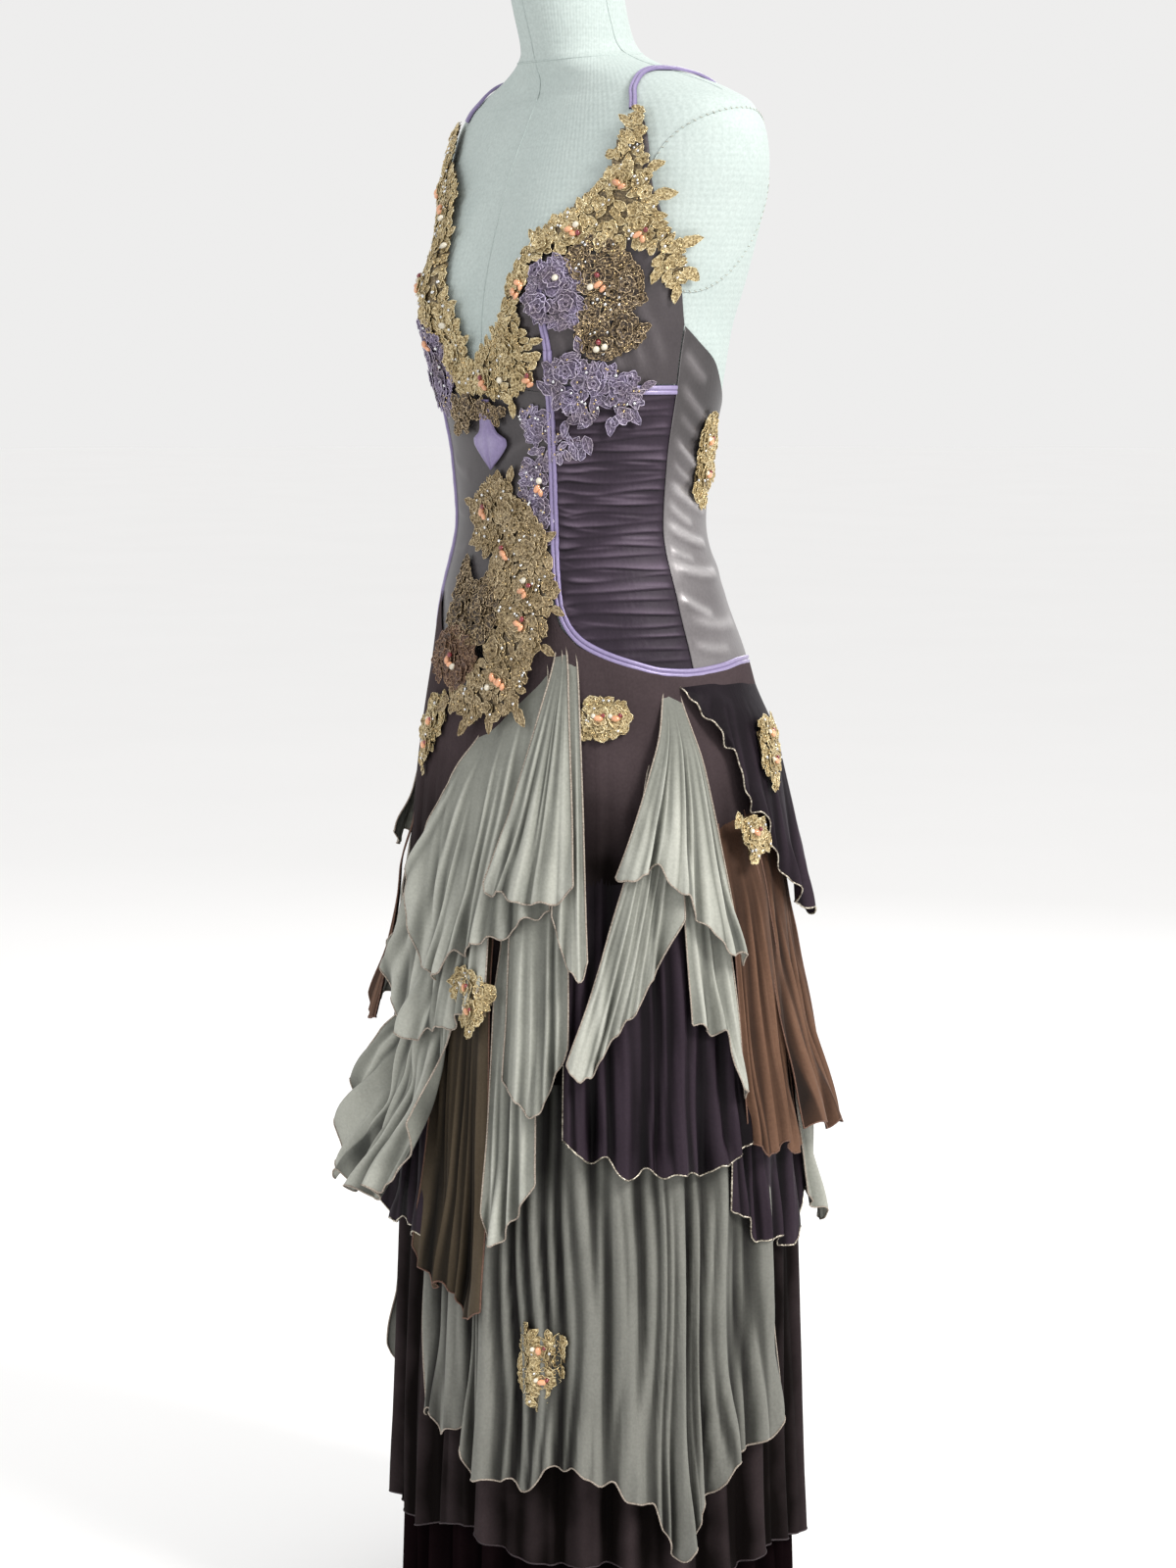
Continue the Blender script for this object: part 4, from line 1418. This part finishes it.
    lace_patch("cup_right", far_gold, "gold", body_place, 69, nodes=["lace_cup_right"],
               flowers=[[-57.2, 1340], [-40, 1318], [-30, 1290], [-36, 1254], [-26, 1228], [-14, 1190]],
               flower_radius=12, spacing=7.2, leaf=(13.5, 7.5),
               tips=[[-34, 1338, -40, 15], [-24, 1300, -50, 15], [-14, 1236, -60, 14], [-7, 1204, -60, 13]])
    far_lilac = [
        [-14, 1166], [-18, 1190], [-24, 1212], [-30, 1226], [-40, 1214], [-46, 1190], [-50, 1166], [-40, 1148],
        [-26, 1140],
    ]
    lace_patch("cup_right_lilac", far_lilac, "lilac", body_place, 70,
               flowers=[[-30, 1190], [-38, 1170], [-24, 1164], [-44, 1192]], flower_radius=13.5, spacing=8.2,
               leaf=(17, 9))
    under_v = [[-12, 1152], [-4, 1150], [4, 1152], [11, 1148], [20, 1142], [16, 1136], [6, 1144], [-6, 1140],
               [-12, 1124], [-18, 1120], [-18, 1140]]
    lace_patch("under_v", under_v, "bronze", further_out(back_place, 1.4), 71,
               flowers=[[-2, 1150]], flower_radius=10, spacing=7.0, leaf=(11, 6.5), ground=False)
    hip_back = [[108, 871], [120, 871], [119, 836], [113, 808], [107, 832]]
    hip_flowers = [[114, 858], [113, 834]]
    back = [[105, 1134], [110, 1142], [122, 1112], [120, 1086], [113, 1060], [104, 1070], [105, 1108]]
    back_flowers = [[110, 1116], [112, 1086]]
    small = [
        ("hip_oval", [[50, 877], [53, 895], [59, 898], [65, 889], [64, 870], [59, 861], [53, 863]],
         [[56, 880], [61, 880]], skirt_place(1.3, 2.2)),
        ("hip_right", [[-31, 855], [-26, 882], [-15, 887], [-12, 866], [-20, 840], [-28, 815]],
         [[-22, 862], [-24, 840]], skirt_place(1.3, 2.6)),
        ("hip_back", hip_back, hip_flowers, skirt_place(5.6, 3.4)),
        ("back_hip_low", [[94, 790], [102, 787], [105, 764], [98, 752]], [[99, 776]], skirt_place(5.0, 6.0)),
        ("tier_front", [[10, 650], [19, 652], [25, 640], [24, 618], [18, 594], [12, 612]], [[16, 638], [18, 618]],
         skirt_place(4.6, 5.0)),
        ("tier_low", [[34, 340], [40, 334], [46, 330], [45, 300], [41, 262], [36, 268], [33, 300]],
         [[39, 318], [40, 290]], skirt_place(1.95, 4.6)),
        ("back_left", back, back_flowers, back_place),
        ("back_right", other_side(back), other_side(back_flowers), back_place),
        ("hip_back_right", other_side(hip_back), other_side(hip_flowers), skirt_place(5.6, 3.4)),
    ]
    for number, (name, outline, flowers, place) in enumerate(small):
        lace_patch(name, outline, "gold", place, 80 + number, flowers=flowers, flower_radius=13,
                   spacing=7.4, leaf=(14, 8))
    add_beads(cup, column, trail, lilac_waist, far_gold, far_lilac, bronze_cup, small)


def add_beads(cup, column, trail, waist, far_gold, far_lilac, bronze_cup, small):
    """Drops, pearls and dark beads in the flowers, crystals and seed beads between them"""
    chance = np.random.default_rng(90)
    made = {kind: [] for kind in BEADS}
    for turn, height in CORAL:
        made["coral"].append(bead((turn, height, 5.0, body_place), 2.8, 1.5, chance.uniform(0, 3.1)))
        made["coral"].append(bead((turn + 1.6, height - 3.5, 4.6, body_place), 2.4, 1.5, chance.uniform(0, 3.1)))
    for turn, height in PEARL:
        made["pearl"].append(bead((turn, height, 5.0, body_place), 3.0))
    for turn, height in RED:
        made["red"].append(bead((turn, height, 5.2, body_place), 2.2, 1.2, chance.uniform(0, 3.1)))
    patches = [(cup, 60, 240, body_place), (column, 55, 190, body_place), (trail, 16, 30, body_place),
               (waist, 14, 30, waist_place), (far_gold, 36, 130, body_place), (far_lilac, 14, 36, body_place),
               (bronze_cup, 22, 110, body_place)]
    for _, outline, flowers, place in small:
        patches.append((outline, 8, 40, place))
        for turn, height in flowers:
            made["coral"].append(bead((turn, height, 5.2, place), 2.8, 1.4, chance.uniform(0, 3.1)))
            made["red"].append(bead((turn + 1.4, height + 2.5, 5.0, place), 1.9))
            made["pearl"].append(bead((turn - 1.5, height + 2.0, 4.8, place), 2.2))
    for outline, crystals, seeds, place in patches:
        edge = np.asarray(outline, float)
        for kind, count, size, out in (("crystal", crystals, 1.35, 3.4), ("gold", seeds, 0.95, 2.6)):
            spots = chance.uniform(edge.min(axis=0), edge.max(axis=0), (count * 4, 2))
            spots = spots[inside(edge, spots[:, 0], spots[:, 1])][:count]
            for turn, height in spots:
                made[kind].append(bead((turn, height, out, place), size * chance.uniform(0.8, 1.2)))
    for kind, shapes in made.items():
        ready(new_object("beads_" + kind, *joined(shapes), BEADS[kind]), "gold_lace")


# Stage, light and camera

FLOOR_COLOUR = (0.80, 0.797, 0.793)
WORLD_COLOUR = (0.98, 0.975, 0.97, 1)
WORLD_LIGHT = 0.53
EXPOSURE = 0.72

def floor_material():
    """Pale floor that glows a little, so that it meets the background without a line"""
    material, tree, shader, place = blank_material("pale floor")
    feed(tree, shader, {
        "Base Color": uneven_colour(tree, place["Object"], 1.5, 3.0, 0.985, FLOOR_COLOUR),
        "Roughness": 0.85, "Emission Color": (1, 0.995, 0.99, 1), "Emission Strength": 0.1,
    })
    return material


def add_area_light(name, spot, size, power, colour, aim):
    data = bpy.data.lights.new(name, "AREA")
    data.shape = "RECTANGLE"
    data.size, data.size_y = size
    data.energy = power
    data.color = colour
    light = bpy.data.objects.new(name, data)
    bpy.context.scene.collection.objects.link(light)
    light.location = spot
    direction = np.array(aim) - np.array(spot)
    light.rotation_euler = Vector(direction.tolist()).to_track_quat("-Z", "Y").to_euler()


def add_stage():
    bpy.ops.mesh.primitive_circle_add(vertices=96, radius=30, fill_type="NGON", location=(0, 0, 0))
    floor = bpy.context.object
    floor.name = "floor"
    floor.data.materials.append(floor_material())
    world = bpy.data.worlds.new("studio")
    bpy.context.scene.world = world
    bpy.context.scene.view_settings.view_transform = "Standard"
    world.use_nodes = True
    background = world.node_tree.nodes["Background"]
    background.inputs["Color"].default_value = WORLD_COLOUR
    background.inputs["Strength"].default_value = WORLD_LIGHT
    bpy.context.scene.view_settings.exposure = EXPOSURE
    add_area_light("key", (2.4, 0.5, 2.7), (0.8, 1.1), 57, (1, 0.985, 0.96), (0, 0, 1.05))
    add_area_light("fill", (-0.4, -3.0, 2.2), (1.4, 1.6), 9, (0.96, 0.98, 1), (0, 0, 1.1))
    add_area_light("rim", (-1.8, 2.4, 2.4), (1.2, 1.6), 20, (1, 1, 1), (0, 0, 1.1))


def add_camera():
    data = bpy.data.cameras.new("camera")
    data.lens = CAMERA_LENS
    data.sensor_width = CAMERA_SENSOR
    data.sensor_fit = "AUTO"
    camera = bpy.data.objects.new("camera", data)
    bpy.context.scene.collection.objects.link(camera)
    azimuth = math.radians(CAMERA_AZIMUTH)
    camera.location = (CAMERA_DISTANCE * math.sin(azimuth), -CAMERA_DISTANCE * math.cos(azimuth), CAMERA_HEIGHT)
    camera.rotation_euler = (math.radians(90 - CAMERA_PITCH), 0, azimuth)
    bpy.context.scene.camera = camera


add_camera()
add_form()
add_stand_look()
add_skirt()
add_front_layers()
add_side_layers()
add_back_layers()
add_tiers()
add_bodice()
add_ribbon_tab()
add_lace()
add_stage()
